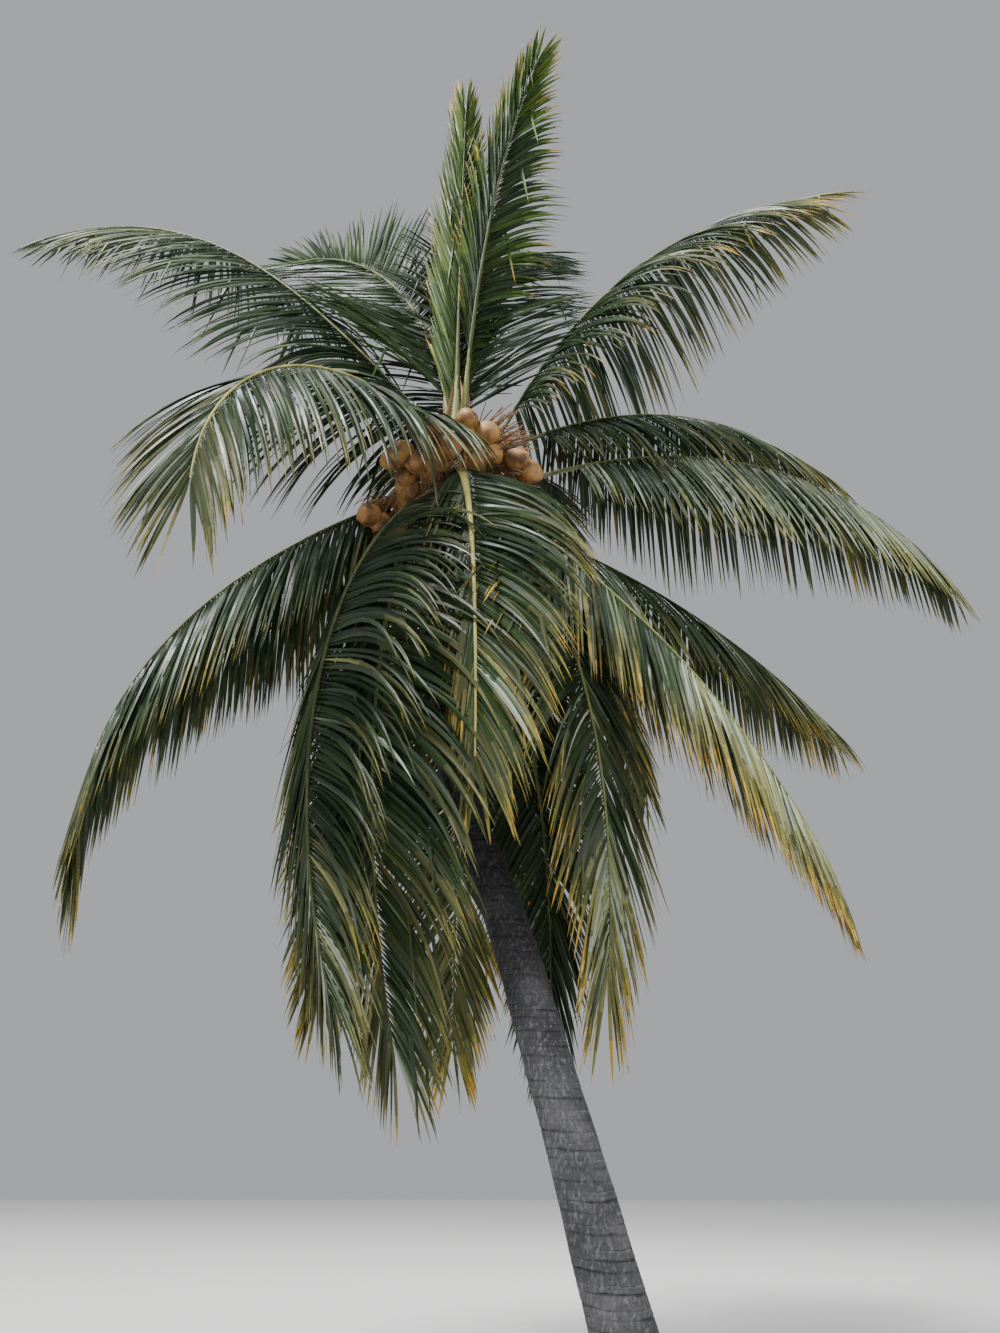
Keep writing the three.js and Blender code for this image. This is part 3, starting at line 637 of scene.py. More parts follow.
def add_leaflets(shape, frond, line, rng):
    """All the leaflets of one frond: folded closed blades that bend under their weight."""
    pairs = round(frond.length * (1 - frond.bare) / LEAFLET_SPACING)
    quads, foot, tip = ring_faces(len(RING_SHARES), LEAFLET_SIDES)
    for hand in (1, -1):
        q = leaflet_places(pairs, hand, rng)
        count = len(q)
        share = frond.bare + (1 - frond.bare) * q
        here = at(line, share)
        half_width, half_depth = rib_size(share, frond.young)
        root = (here.point + here.side * hand * (0.8 * half_width)[:, None]
                + here.upper * (0.25 * half_depth)[:, None])
        start = leaflet_starts(frond, here, q, hand, rng)
        longest = LEAFLET_LENGTH * frond.size
        length = longest * leaflet_share(q, frond.bare) * rng.uniform(*LENGTH_RANGE, count)
        points, tangents = leaflet_paths(frond, q, root, start, length, rng)
        corners = leaflet_corners(frond, here, q, points, tangents, rng)
        side_tints, root_tints, tip_tints = leaflet_tints(frond, q, rng)
        offsets = (np.arange(count) * len(RING_SHARES) * LEAFLET_SIDES)[:, None, None]
        shape.add(
            corners,
            ((quads[None] + offsets).reshape(-1, 4), side_tints),
            ((foot[None] + offsets).reshape(-1, 4), root_tints),
            ((tip[None] + offsets).reshape(-1, 4), tip_tints),
        )


def sharpen_lengthwise(piece):
    """Keeps the fold and the edges of every leaflet crisp, and its length smooth."""
    mesh = piece.data
    ends = np.zeros(len(mesh.edges) * 2, np.int32)
    mesh.edges.foreach_get("vertices", ends)
    ends = ends.reshape(-1, 2)
    sharp = np.abs(ends[:, 0] - ends[:, 1]) == LEAFLET_SIDES
    attribute = mesh.attributes.new("sharp_edge", "BOOLEAN", "EDGE")
    attribute.data.foreach_set("value", sharp)


# Ribs of the fronds: the numbers of their materials, and pairs of an upper and a lower one
RIB_STALK, RIB_PALE, RIB_GREEN, RIB_DARK, RIB_YOUNG = range(5)
RIB_TINTS = {
    "pale": (RIB_PALE, RIB_GREEN),
    "green": (RIB_GREEN, RIB_DARK),
    "young": (RIB_GREEN, RIB_DARK),
    "dark": (RIB_DARK, RIB_DARK),
}
RIB_SIDES = 12
RIB_SHARES = np.concatenate([
    np.linspace(0, 0.06, 6, endpoint=False),
    np.linspace(0.06, 0.22, 8, endpoint=False),
    np.linspace(0.22, 1, 44),
])
STALK_FLARE = 1.25
YOUNG_FLARE = 0.5
DEPTH_FLARE = 0.25
FLARE_REACH = 0.055
FLARE_POWER = 1.4
CHANNEL_END = 0.14
CHANNEL_FADE = 0.12


def rib_heights(shares):
    """The upper and lower outline of a rib: a channelled stalk that turns into a ridge."""
    x = np.cos(circle(RIB_SIDES))
    y = np.sin(circle(RIB_SIDES))
    channel = 0.45 * np.maximum(y, 0) - 0.28 * (y > 0) * np.exp(-((x / 0.5) ** 2)) + 0.12 * (y > 0)
    ridge = np.maximum(y, 0) ** 1.6
    turned = np.clip((shares - CHANNEL_END) / CHANNEL_FADE, 0, 1)[:, None]
    return x, np.where(y > 0.01, lerp(channel, ridge, turned), -np.abs(y) ** 0.9)


def add_rib(shape, frond, line):
    """A frond's rib: a broad channelled stalk that narrows to a thin ridge between the leaflets."""
    here = at(line, RIB_SHARES)
    half_width, half_depth = rib_size(RIB_SHARES, frond.young)
    flare = np.exp(-((RIB_SHARES / FLARE_REACH) ** FLARE_POWER))
    half_width = half_width * (1 + (YOUNG_FLARE if frond.young else STALK_FLARE) * flare)
    half_depth = half_depth * (1 + DEPTH_FLARE * flare)
    across, height = rib_heights(RIB_SHARES)
    sidewise = (half_width[:, None] * across)[:, :, None] * here.side[:, None, :]
    upward = (half_depth[:, None] * height)[:, :, None] * here.upper[:, None]
    corners = here.point[:, None] + sidewise + upward
    quads, foot, tip = ring_faces(len(RIB_SHARES), RIB_SIDES)
    side = np.arange(len(quads)) % RIB_SIDES
    row = np.arange(len(quads)) // RIB_SIDES
    ragged = 0.03 * np.sin(side * 1.7 + frond.number)
    stalk = RIB_SHARES[row] < max(0.1, frond.bare - 0.04) + ragged
    tints = np.where(side < RIB_SIDES // 2, *RIB_TINTS[frond.tint])
    tints = np.where(stalk, RIB_YOUNG if frond.young else RIB_STALK, tints)
    shape.add(corners.reshape(-1, 3), (quads, tints), (foot, RIB_STALK), (tip, RIB_GREEN))


# Fibre that clasps the heart and the feet of the leaf stalks, with the numbers of its materials
FIBRE_BASE, FIBRE_STRAND = range(2)
FIBRE_STEPS = 12
FIBRE_START = 0.004
FIBRE_ENDS = (0.1, 0.15)
FIBRE_WIDTH = 0.075
FIBRE_LEAST_WIDTH = 0.002
FIBRE_HALF_THICKNESS = 0.0012
HEART_RINGS = 60
HEART_SIDES = 40
STRANDS = 640
OLD_FEET = 9
OLD_FOOT_RADII = np.array([0.06, 0.056, 0.045, 0.036, 0.03])


def add_fibre_edges(shape, frond, line, rng):
    """Ragged strips of brown fibre along both edges of a leaf stalk's foot."""
    shares = np.linspace(FIBRE_START, rng.uniform(*FIBRE_ENDS), FIBRE_STEPS)
    here = at(line, shares)
    half_width = rib_size(shares, frond.young)[0]
    fade = 1 - (shares / shares[-1]) ** 1.3
    thick = here.upper * FIBRE_HALF_THICKNESS
    for hand in (1, -1):
        ragged = 0.55 + 0.45 * rng.random(FIBRE_STEPS)
        reach = (FIBRE_WIDTH * fade * ragged + FIBRE_LEAST_WIDTH)[:, None]
        inner = here.point + here.side * hand * (half_width * (1 + 0.7 * fade))[:, None]
        drop = here.upper * reach * 0.5
        outer = inner + here.side * hand * reach * 0.75 - drop - UP * reach * 0.3
        first, second = (inner, outer) if hand > 0 else (outer, inner)
        rows = np.stack([second + thick, first + thick, first - thick, second - thick], axis=1)
        add_body(shape, rows, FIBRE_STRAND, FIBRE_STRAND)


def add_heart_column(shape):
    """The core of the heart, ridged by the edges of the sheaths that wrap it."""
    levels = np.linspace(TRUNK_TOP - 0.02 - CROWN[2], HEART_TOP, HEART_RINGS)
    angle = circle(HEART_SIDES)
    ring = np.stack([np.cos(angle), np.sin(angle), np.zeros(HEART_SIDES)], axis=-1)
    rows = []
    for level in levels:
        radius = min(heart_radius(level), TRUNK_RADIUS + 0.3 * max(0, level - levels[0]))
        wrap = 0.012 * np.sin(3 * angle + 9 * level) + 0.006 * np.sin(7 * angle - 23 * level)
        step = 0.01 * ((level * 9.0 + angle / (2 * np.pi) * 2) % 1)
        size = radius * (1 + 0.1 * step) + wrap * min(1, radius / 0.1) * 0.6 + step
        rows.append(CROWN + UP * level + ring * size[:, None])
    add_body(shape, rows, FIBRE_BASE, FIBRE_BASE)


def add_strands(shape, rng):
    """Loose strands of fibre that stand and hang between the feet of the leaf stalks."""
    for _ in range(STRANDS):
        azimuth = rng.uniform(0, 2 * np.pi)
        level = rng.uniform(-0.34, 0.42)
        out = outward(azimuth)
        point = CROWN + out * (heart_radius(level) + 0.004) + UP * level
        way = unit(out * rng.uniform(0.3, 1) + UP * rng.uniform(-0.4, 1.1)
                   + np.array([-out[1], out[0], 0]) * rng.normal(0, 0.5))
        length = rng.uniform(0.07, 0.26)
        path = sagging_path(point - out * 0.02, way, length, 5, (0.1, 0.45), 0.12, rng)
        radii = np.linspace(rng.uniform(0.0016, 0.004), 0.0006, len(path))
        add_tube(shape, path, radii, 4, FIBRE_STRAND, flatten=0.5)


def add_old_feet(shape, rng):
    """Stubs of fallen leaf stalks under the living ones."""
    for k in range(OLD_FEET):
        out = outward(math.radians(k * GOLDEN_ANGLE + 40))
        foot = CROWN + UP * (-0.3 - 0.011 * k)
        path = []
        for j in range(len(OLD_FOOT_RADII)):
            dip = 0.012 * j - 0.012 * j * j / 2
            path.append(foot + out * (0.08 + 0.035 * j) - UP * dip)
        radii = OLD_FOOT_RADII * rng.uniform(0.8, 1.1)
        add_tube(shape, path, radii, 12, FIBRE_BASE, flatten=0.45)


# Nuts, their stalks and the flower twigs
def nut_centres(bunch, index):
    """The nuts of a bunch, by the rule of the solids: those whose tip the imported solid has."""
    line = grow_line(bunch, STALK_STEPS)
    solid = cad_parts["bunch_" + bunch.name].data
    corners = np.zeros(len(solid.vertices) * 3, np.float32)
    solid.vertices.foreach_get("co", corners)
    corners = corners.reshape(-1, 3)
    found = []
    for i in range(NUT_TRIES):
        here = at(line, 1 - NUT_REACH * ((i * NUT_STEP) % 1))
        angle = i * SPIRAL_TURN + index
        away = here.side * math.cos(angle) + here.upper * math.sin(angle)
        size = 0.9 + 0.2 * chance(index, i)
        layer = INNER_LAYER if i < NUT_TRIES / 2 else OUTER_LAYER
        centre = here.point + away * (STALK_RADIUS + layer * NUT_RADIUS * size)
        axis = unit(0.7 * away - 0.6 * UP)
        tip = centre + axis * NUT_HALF_HEIGHT * size
        if np.linalg.norm(corners - tip, axis=1).min() < NUT_MATCH:
            found.append((centre, axis, size))
    return line, found


def add_nut(shape, centre, axis, size, rng):
    """A nut: a slightly three-sided egg, widest near its stalk."""
    first, second = square_to(axis)
    heights = -np.cos(np.linspace(0.12, np.pi - 0.1, NUT_RINGS))
    turn = rng.uniform(0, 2 * np.pi)
    angle = circle(NUT_SIDES)
    rows = []
    for h in heights:
        outline = 1.02 * (1 - abs(h) ** 2.3) ** 0.55
        taper = (1 - 0.07 * h) * (1 - 0.14 * max(0, h) ** 2)
        three_sided = 1 + 0.06 * np.cos(3 * (angle + turn)) * (0.6 + 0.4 * h)
        dent = 1 - 0.012 * np.cos(5 * angle + 3 * h + turn)
        radius = HUSK_SHARE * NUT_RADIUS * size * outline * taper * three_sided * dent
        middle = centre + axis * h * NUT_HALF_HEIGHT * size
        rows.append(ring_of(middle, first, second, angle, radius[:, None]))
    add_body(shape, rows, 0, 1)


def add_cap(shape, centre, axis, size, rng):
    """The lobed cap that holds a nut at its stalk end."""
    first, second = square_to(axis)
    angle = circle(CAP_SIDES)
    lobes = 1 + 0.2 * np.abs(np.cos(1.5 * angle + rng.uniform(0, 3)))
    rows = []
    for height, share in CAP_PROFILE:
        radius = NUT_RADIUS * size * share * lobes
        middle = centre + axis * height * NUT_HALF_HEIGHT * size
        rows.append(ring_of(middle, first, second, angle, radius[:, None]))
    add_body(shape, rows, 1, 1)


def add_stalk(shape, line, rng, twigs):
    """The bent stalk of a bunch with the thin twigs that bore its flowers."""
    radii = STALK_RADIUS * np.linspace(1.15, 0.4, len(line.point))
    add_tube(shape, line.point, radii, 10, 0)
    for k in range(twigs):
        here = at(line, rng.uniform(0.2, 1))
        angle = k * SPIRAL_TURN + rng.uniform(-0.4, 0.4)
        way = unit(here.along * rng.uniform(0.3, 1) + here.side * math.cos(angle)
                   + here.upper * math.sin(angle))
        length = rng.uniform(0.18, 0.4)
        path = sagging_path(here.point, way, length, TWIG_STEPS, (0.1, 0.35), 0.09, rng)
        radii = np.linspace(0.0055, 0.0025, len(path))
        add_tube(shape, path, radii, TWIG_SIDES, rng.integers(0, 2))


def add_flower_fan(shape, rng):
    """A fan of old flower branches that rises from the heart over the right bunch."""
    for _ in range(FAN_TWIGS):
        out = outward(math.radians(rng.uniform(*FAN_AZIMUTHS)))
        level = rng.uniform(*FAN_LEVELS)
        way = unit(out + UP * rng.uniform(0.15, 1.1))
        length = rng.uniform(0.28, 0.58)
        foot = CROWN + out * heart_radius(level) + UP * level
        path = sagging_path(foot, way, length, TWIG_STEPS, (0.02, 0.16), 0.06, rng)
        radii = np.linspace(0.009, 0.004, len(path))
        add_tube(shape, path, radii, TWIG_SIDES, rng.integers(0, 2))


# Trunk
def trunk_radius(height):
    """The trunk's radius at heights: even above, with a swell and a flare towards the ground."""
    swell = LOWER_SWELL * np.exp(-((height / SWELL_HEIGHT) ** SWELL_POWER))
    return TRUNK_RADIUS + swell + ROOT_FLARE * np.exp(-height / FLARE_HEIGHT)


def trunk_middle(height):
    """The trunk's middle at heights: a smooth curve through the points of its line."""
    line = np.array(TRUNK_LINE, dtype=float)
    first = 2 * line[0] - line[1]
    last = 2 * line[-1] - line[-2]
    knots = np.vstack([first, line, last])
    samples = []
    for k in range(1, len(knots) - 2):
        p0, p1, p2, p3 = knots[k - 1:k + 3]
        d0, d1, d2 = (np.linalg.norm(b - a) ** 0.5 for a, b in ((p0, p1), (p1, p2), (p2, p3)))
        m1 = ((p1 - p0) / d0 - (p2 - p0) / (d0 + d1) + (p2 - p1) / d1) * d1
        m2 = ((p2 - p1) / d1 - (p3 - p1) / (d1 + d2) + (p3 - p2) / d2) * d1
        t = np.linspace(0, 1, CURVE_STEPS)[:, None]
        samples.append((2 * t ** 3 - 3 * t ** 2 + 1) * p1 + (t ** 3 - 2 * t ** 2 + t) * m1
                       + (3 * t ** 2 - 2 * t ** 3) * p2 + (t ** 3 - t ** 2) * m2)
    samples = np.vstack(samples)
    return np.stack([np.interp(height, samples[:, 2], samples[:, k]) for k in range(2)], axis=-1)


def trunk_ring(level, depth, tilt, phases):
    """One ring of the trunk, tilted and cut round it, and how deep in a scar each corner lies."""
    angle = circle(TRUNK_SIDES)
    tilted = min(1, level / LEVEL_ENDS, (TRUNK_TOP - level) / LEVEL_ENDS)
    z = level + tilt * max(0, tilted)
    lumps = 0
    for (size, turns, twist), phase in zip(TRUNK_LUMPS, phases):
        lumps = lumps + size * np.sin(turns * angle + twist * z + phase)
    radius = trunk_radius(z) + lumps * min(1, level / 0.1 + 0.3) + depth
    middle = trunk_middle(z)
    x = middle[:, 0] + radius * np.cos(angle)
    y = middle[:, 1] + radius * np.sin(angle)
    return np.stack([x, y, z], axis=-1), np.clip(-depth / SCAR_DEPTH, -1, 1)


def scar_form(number, rng):
    """The tilt of a scar round the trunk, and how strongly it is cut there."""
    angle = circle(TRUNK_SIDES)
    heading = number * math.radians(GOLDEN_ANGLE) + rng.normal(0, 0.3)
    wobble = 0.0022 * np.sin(4 * angle + rng.uniform(0, 6))
    wobble = wobble + 0.0014 * np.sin(7 * angle + rng.uniform(0, 6))
    tilt = SCAR_TILT * np.cos(angle - SCAR_TILT_TURN) + SCAR_SKEW * np.cos(angle - heading) + wobble
    crescent = 0.62 + 0.38 * np.cos(angle - heading)
    ragged = 0.8 + 0.2 * np.sin(11 * angle + number)
    return tilt, rng.uniform(*SCAR_STRENGTHS) * crescent * ragged


def make_trunk():
    """The trunk with its tilted leaf scars, each a crescent groove with a raised lower rim."""
    rng = np.random.default_rng(TRUNK_SEED)
    phases = rng.uniform(0, 2 * np.pi, 6)
    plain = np.zeros(TRUNK_SIDES)
    rings = [trunk_ring(0, plain, plain, phases)]
    height = SCAR_FIRST
    number = 0
    while height < TRUNK_TOP - SCAR_END_GAP:
        spacing = lerp(SCAR_SPACING_LOW, SCAR_SPACING_HIGH, height / TRUNK_TOP)
        spacing *= rng.uniform(0.75, 1.25)
        tilt, strength = scar_form(number, rng)
        for place, depth in SCAR_PROFILE:
            cut = SCAR_DEPTH * depth * strength
            rings.append(trunk_ring(height + place * spacing, cut, tilt, phases))
        height += spacing
        number += 1
    rings.append(trunk_ring(TRUNK_TOP, plain, plain, phases))
    shape = Shape()
    add_body(shape, [ring for ring, _ in rings], 0, 0)
    trunk = make_piece("trunk_bark", shape, [bark_material()], ["trunk"])
    # The depth in each scar's groove, which the bark's painted shade and painted highlight follow
    grooves = np.concatenate([groove for _, groove in rings])
    attribute = trunk.data.attributes.new("groove", "FLOAT", "POINT")
    attribute.data.foreach_set("value", grooves.astype(np.float32))


# Flower sheath
def make_sheath():
    """The closed flower sheath: a ribbed spindle that ends in a long point."""
    along = unit(SHEATH_ALONG)
    side = unit(np.cross(along, UP))
    front = np.cross(side, along)
    angle = circle(SHEATH_SIDES)
    grooves = 1 + 0.05 * np.cos(SHEATH_GROOVES * angle)
    rows = []
    for t in np.linspace(0, 1, SHEATH_RINGS):
        radius = SHEATH_RADIUS * (0.5 + 0.6 * math.sin(min(1, t / 0.62) * math.pi / 2))
        radius *= (1 - max(0, (t - 0.25) / 0.75) ** 1.7) + 0.015
        bow = front * SHEATH_BOW * math.sin(math.pi * t)
        middle = CROWN + SHEATH_FOOT + along * t * SHEATH_LENGTH + bow
        rows.append(ring_of(middle, side, -0.8 * front, angle, (radius * grooves)[:, None]))
    shape = Shape()
    add_body(shape, rows, 0, 0)
    make_piece("flower_sheath_skin", shape, [sheath_material()], ["flower_sheath"])


# Helpers for materials
def new_material(name, colour, roughness):
    """A material with its plain colour and roughness, and what its further nodes are joined to."""
    material = bpy.data.materials.new(name)
    material.use_nodes = True
    tree = material.node_tree
    shader = tree.nodes["Principled BSDF"]
    shader.inputs["Base Color"].default_value = (*colour, 1)
    shader.inputs["Roughness"].default_value = roughness
    place = tree.nodes.new("ShaderNodeTexCoord").outputs["Object"]
    return SimpleNamespace(material=material, tree=tree, shader=shader, place=place,
                           join=tree.links.new)


def set_specular(kit, level):
    """How strongly a surface mirrors, where 0.5 is usual."""
    kit.shader.inputs["Specular IOR Level"].default_value = level


def noise(kit, scale, detail=3.0, stretch=None):
    """A noise pattern over the object's own place, stretched where asked."""
    node = kit.tree.nodes.new("ShaderNodeTexNoise")
    node.inputs["Scale"].default_value = scale
    node.inputs["Detail"].default_value = detail
    place = kit.place
    if stretch:
        mapping = kit.tree.nodes.new("ShaderNodeMapping")
        mapping.inputs["Scale"].default_value = stretch
        kit.join(place, mapping.inputs["Vector"])
        place = mapping.outputs["Vector"]
    kit.join(place, node.inputs["Vector"])
    return node.outputs["Fac"]


def ramp(kit, value, stops):
    """Colours over a value, given as pairs of place and colour."""
    node = kit.tree.nodes.new("ShaderNodeValToRGB")
    elements = node.color_ramp.elements
    while len(elements) < len(stops):
        elements.new(0.5)
    for element, (place, colour) in zip(elements, stops):
        element.position = place
        element.color = (*colour, 1)
    kit.join(value, node.inputs["Fac"])
    return node.outputs["Color"]


def remap(kit, value, low, high, start=0.3, end=0.7):
    """A value carried from the range start to end over to the range low to high."""
    node = kit.tree.nodes.new("ShaderNodeMapRange")
    ends = (("From Min", start), ("From Max", end), ("To Min", low), ("To Max", high))
    for name, number in ends:
        node.inputs[name].default_value = number
    kit.join(value, node.inputs["Value"])
    return node.outputs["Result"]


def blend(kit, factor, below, above):
    """A colour output with a plain colour laid over it by a factor."""
    node = kit.tree.nodes.new("ShaderNodeMix")
    node.data_type = "RGBA"
    kit.join(factor, node.inputs["Factor"])
    kit.join(below, node.inputs["A"])
    node.inputs["B"].default_value = (*above, 1)
    return node.outputs["Result"]


def bump(kit, value, strength, distance):
    """Fine relief by a value."""
    node = kit.tree.nodes.new("ShaderNodeBump")
    node.inputs["Strength"].default_value = strength
    node.inputs["Distance"].default_value = distance
    kit.join(value, node.inputs["Height"])
    kit.join(node.outputs["Normal"], kit.shader.inputs["Normal"])


def set_colour(kit, colour):
    """Gives a material its patterned colour."""
    kit.join(colour, kit.shader.inputs["Base Color"])


def set_roughness(kit, value, low, high):
    """Lets a material's roughness vary with a value."""
    kit.join(remap(kit, value, low, high), kit.shader.inputs["Roughness"])


# Materials of the palm
LEAF_GLOSS = {"deep": 0.36, "deep_blue": 0.32, "green": 0.38, "green_grey": 0.36, "fresh": 0.45}
OTHER_LEAF_GLOSS = 0.46


def leaf_material(name):
    """A glossy leaflet skin in one plain tint, with a finely uneven sheen."""
    kit = new_material("leaf_" + name, LEAF_TINTS[name], 0.4)
    set_specular(kit, 0.17)
    gloss = LEAF_GLOSS.get(name, OTHER_LEAF_GLOSS)
    set_roughness(kit, noise(kit, 7), gloss - 0.07, gloss + 0.16)
    bump(kit, noise(kit, 140, detail=2), 0.35, 0.0012)
    return kit.material


def rib_material(name, light, dark, roughness):
    """A smooth stalk or rib with darker lengthwise stains."""
    kit = new_material(name, light, roughness)
    set_specular(kit, 0.22)
    stains = noise(kit, 9, detail=5, stretch=(1, 1, 0.35))
    set_colour(kit, ramp(kit, stains, [(0.36, dark), (0.6, light)]))
    set_roughness(kit, noise(kit, 30), roughness - 0.08, roughness + 0.12)
    bump(kit, noise(kit, 90, detail=4, stretch=(1, 1, 0.2)), 0.4, 0.003)
    return kit.material


def bark_material():
    """Grey bark: soft patches, upright pale flecks, fine dark cracks, painted shade deepening into
    the scar grooves and a painted highlight on their raised rims.
    """
    patch_dark = (0.025, 0.025, 0.027)
    patch_grey = (0.042, 0.042, 0.045)
    patch_pale = (0.074, 0.073, 0.076)
    fleck = (0.13, 0.128, 0.131)
    crack = (0.013, 0.013, 0.013)
    painted_groove_shade = (0.02, 0.02, 0.02)
    painted_rim_highlight = (0.1, 0.098, 0.096)
    kit = new_material("bark", (0.054, 0.055, 0.059), 0.88)
    set_specular(kit, 0.15)
    broad = noise(kit, 3.2, detail=5)
    colour = ramp(kit, broad, [(0.3, patch_dark), (0.5, patch_grey), (0.7, patch_pale)])
    flecks = noise(kit, 62, detail=6, stretch=(1, 1, 0.4))
    colour = blend(kit, remap(kit, flecks, 0, 0.8, start=0.5, end=0.8), colour, fleck)
    cracks = noise(kit, 95, detail=5, stretch=(1, 1, 1.4))
    colour = blend(kit, remap(kit, cracks, 0, 0.7, start=0.53, end=0.72), colour, crack)
    attribute = kit.tree.nodes.new("ShaderNodeAttribute")
    attribute.attribute_name = "groove"
    groove = attribute.outputs["Fac"]
    # Painted shade darkens each scar by the depth of its groove, and a painted highlight lightens
    # its raised rim
    colour = blend(kit, remap(kit, groove, 0, 0.7, start=0.06, end=0.6), colour, painted_groove_shade)
    colour = blend(kit, remap(kit, groove, 0.32, 0, start=-0.45, end=-0.1), colour, painted_rim_highlight)
    set_colour(kit, colour)
    set_roughness(kit, flecks, 0.95, 0.78)
    bump(kit, noise(kit, 60, detail=6, stretch=(1, 1, 0.35)), 0.9, 0.006)
    return kit.material


def fibre_material(name, light, dark):
    """Dry fibre: fine lengthwise strands from dark to light."""
    kit = new_material(name, light, 0.85)
    strands = noise(kit, 70, detail=4, stretch=(1, 1, 0.12))
    set_colour(kit, ramp(kit, strands, [(0.35, dark), (0.62, light)]))
    set_roughness(kit, strands, 0.95, 0.75)
    bump(kit, strands, 0.8, 0.006)
    return kit.material


def husk_material():
    """Ripe husk: orange-tan with dark, paler and faintly green patches and small scuffs."""
    dark = (0.075, 0.04, 0.016)
    brown = (0.21, 0.095, 0.024)
    orange = (0.33, 0.16, 0.04)
    greenish = (0.19, 0.14, 0.045)
    scuff = (0.13, 0.07, 0.03)
    kit = new_material("husk", (0.5, 0.26, 0.07), 0.45)
    broad = noise(kit, 11, detail=5)
    colour = ramp(kit, broad, [(0.34, dark), (0.46, brown), (0.57, orange), (0.68, greenish)])
    scuffs = remap(kit, noise(kit, 42, detail=5), 0, 0.7, start=0.6, end=0.75)
    set_colour(kit, blend(kit, scuffs, colour, scuff))
    set_roughness(kit, noise(kit, 20), 0.48, 0.68)
    bump(kit, noise(kit, 110, detail=4), 0.3, 0.002)
    return kit.material


def sheath_material():
    """Woody maroon sheath with fine lengthwise streaks."""
    kit = new_material("sheath", (0.07, 0.02, 0.02), 0.5)
    streaks = noise(kit, 30, detail=4, stretch=(1, 1, 0.15))
    stops = [(0.35, (0.035, 0.012, 0.013)), (0.65, (0.12, 0.035, 0.032))]
    set_colour(kit, ramp(kit, streaks, stops))
    set_roughness(kit, streaks, 0.6, 0.42)
    bump(kit, streaks, 0.5, 0.003)
    return kit.material


# Fronds
leaf_materials = [leaf_material(name) for name in LEAF_NAMES]
rib_materials = [
    rib_material("stalk", (0.19, 0.19, 0.085), (0.1, 0.082, 0.045), 0.5),
    rib_material("rib_pale", (0.36, 0.32, 0.1), (0.2, 0.19, 0.055), 0.5),
    rib_material("rib_green", (0.15, 0.17, 0.05), (0.08, 0.1, 0.03), 0.5),
    rib_material("rib_dark", (0.07, 0.08, 0.025), (0.035, 0.045, 0.015), 0.5),
    rib_material("stalk_young", (0.24, 0.28, 0.1), (0.15, 0.16, 0.06), 0.45),
]
fibre = Shape()


def nodes_of(frond):
    """The names of the solids that a frond stands for."""
    name = "frond_%02d" % frond.number
    return [name + "_inner", name + "_outer"] if frond.fall >= SPLIT_BEND else [name]


for part, rows in FRONDS.items():
    leaflets = Shape()
    ribs = Shape()
    names = []
    for row in rows:
        frond = frond_row(*row)
        rng = np.random.default_rng(FROND_SEED + frond.number)
        line = grow_line(frond, LINE_STEPS)
        add_leaflets(leaflets, frond, line, rng)
        add_rib(ribs, frond, line)
        add_fibre_edges(fibre, frond, line, rng)
        names += nodes_of(frond)
    sharpen_lengthwise(make_piece("leaflets_" + part, leaflets, leaf_materials, names))
    make_piece("ribs_" + part, ribs, rib_materials, names, sharp_angle=50)

# Heart
rng = np.random.default_rng(HEART_SEED)
add_heart_column(fibre)
add_strands(fibre, rng)
add_old_feet(fibre, rng)
fibre_materials = [
    fibre_material("leaf_base", (0.26, 0.19, 0.09), (0.1, 0.065, 0.035)),
    fibre_material("fibre", (0.33, 0.18, 0.075), (0.13, 0.07, 0.035)),
]
make_piece("heart_fibre", fibre, fibre_materials, ["crown_heart"], sharp_angle=40)

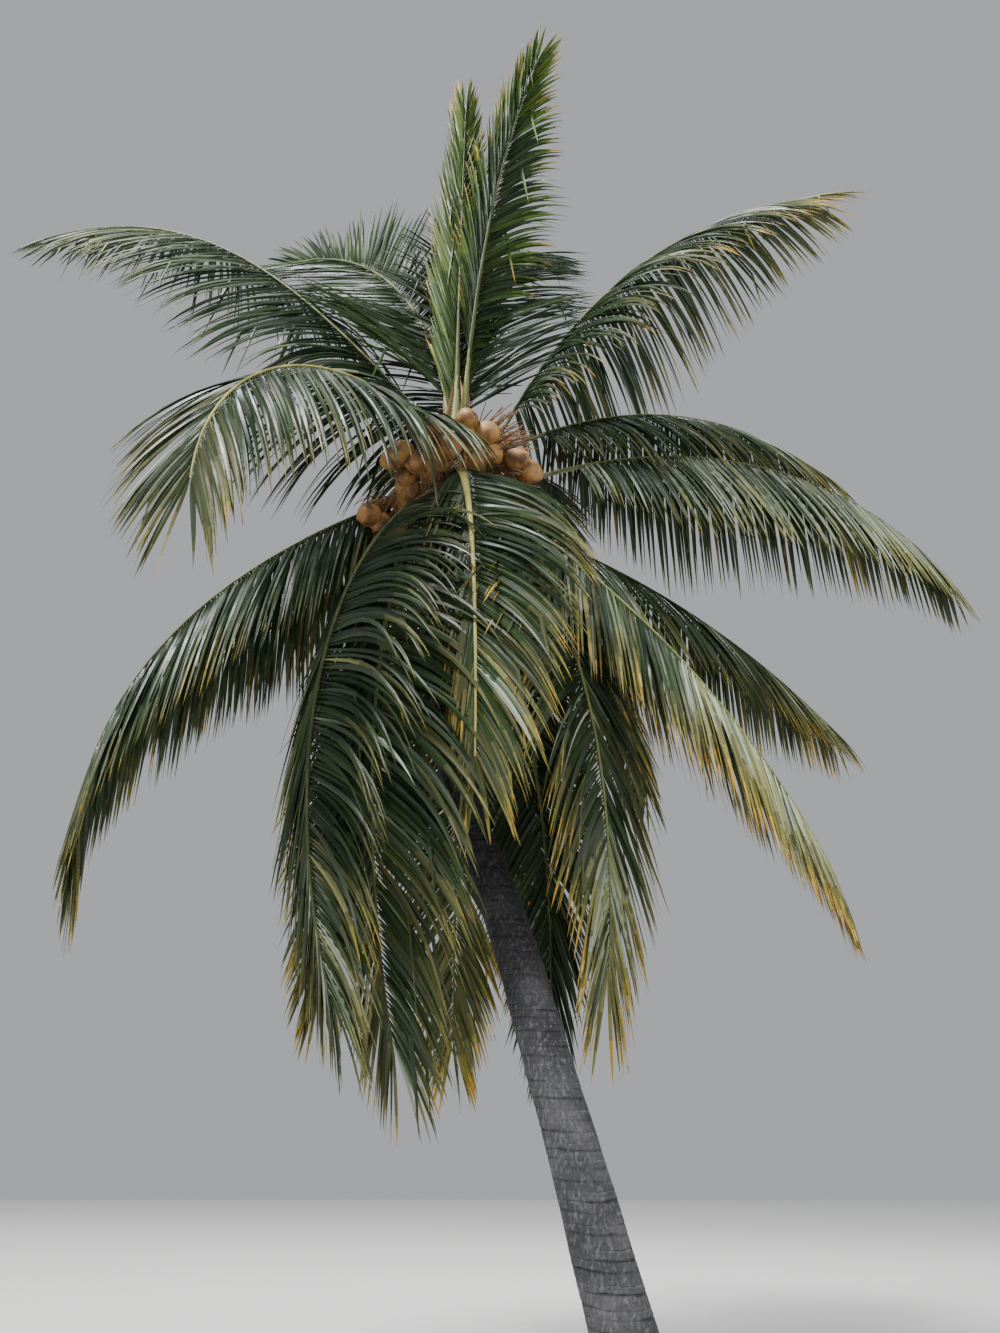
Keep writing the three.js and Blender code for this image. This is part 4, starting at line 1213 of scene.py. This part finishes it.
# Bunches
nut_materials = [husk_material(), fibre_material("cap", (0.3, 0.17, 0.07), (0.12, 0.07, 0.035))]
twig_materials = [
    fibre_material("twig", (0.3, 0.15, 0.05), (0.12, 0.06, 0.024)),
    fibre_material("twig_dry", (0.13, 0.072, 0.035), (0.05, 0.03, 0.018)),
]
for index, row in enumerate(BUNCHES):
    bunch = bunch_row(*row)
    rng = np.random.default_rng(BUNCH_SEED + index)
    nuts = Shape()
    twigs = Shape()
    line, found = nut_centres(bunch, index)
    for centre, axis, size in found:
        add_nut(nuts, centre, axis, size, rng)
        add_cap(nuts, centre, axis, size, rng)
    if bunch.name == "right":
        add_stalk(twigs, line, rng, RIGHT_STALK_TWIGS)
        add_flower_fan(twigs, rng)
    else:
        add_stalk(twigs, line, rng, STALK_TWIGS)
    nodes = ["bunch_" + bunch.name]
    make_piece("nuts_" + bunch.name, nuts, nut_materials, nodes, sharp_angle=60)
    make_piece("twigs_" + bunch.name, twigs, twig_materials, nodes, sharp_angle=60)

make_sheath()
make_trunk()

# Floor
FLOOR_HALF = 40
corner_signs = [(-1, -1), (1, -1), (1, 1), (-1, 1)]
floor_corners = [(FLOOR_HALF * x, FLOOR_HALF * y, 0) for x, y in corner_signs]
floor_mesh = bpy.data.meshes.new("floor")
floor_mesh.from_pydata(floor_corners, [], [(0, 1, 2, 3)])
floor = add_object("floor", floor_mesh)
floor_mesh.materials.append(new_material("floor", (0.62, 0.62, 0.6), 0.9).material)

# Even light from all round
world = bpy.data.worlds.new("studio")
bpy.context.scene.world = world
world.use_nodes = True
background = world.node_tree.nodes["Background"]
background.inputs["Color"].default_value = (0.86, 0.89, 0.93, 1)
background.inputs["Strength"].default_value = 0.5

# Lamps
LAMP_AIM = (-1, 1.5, 6)


def add_light(name, place, target, size, power):
    """A large soft lamp aimed at a point."""
    lamp = bpy.data.lights.new(name, "AREA")
    lamp.size = size
    lamp.energy = power
    light = add_object(name, lamp)
    light.location = place
    way = Vector(target) - Vector(place)
    light.rotation_euler = way.to_track_quat("-Z", "Y").to_euler()


add_light("key", (-15, -14, 36), LAMP_AIM, 8, 36000)
add_light("fill", (9, -6, 9), LAMP_AIM, 8, 900)
add_light("back", (3, 14, 15), LAMP_AIM, 6, 1800)

# Camera
FOCAL_PIXELS = 1001
IMAGE_HEIGHT = 1333
SENSOR = 36
PITCH = 26
camera_data = bpy.data.cameras.new("camera")
camera_data.sensor_width = SENSOR
camera_data.lens = SENSOR * FOCAL_PIXELS / IMAGE_HEIGHT
camera_data.clip_end = 500
camera = add_object("camera", camera_data)
camera.location = (-0.75, -4.8, 1.6)
camera.rotation_euler = (math.radians(90 + PITCH), 0, 0)
bpy.context.scene.camera = camera
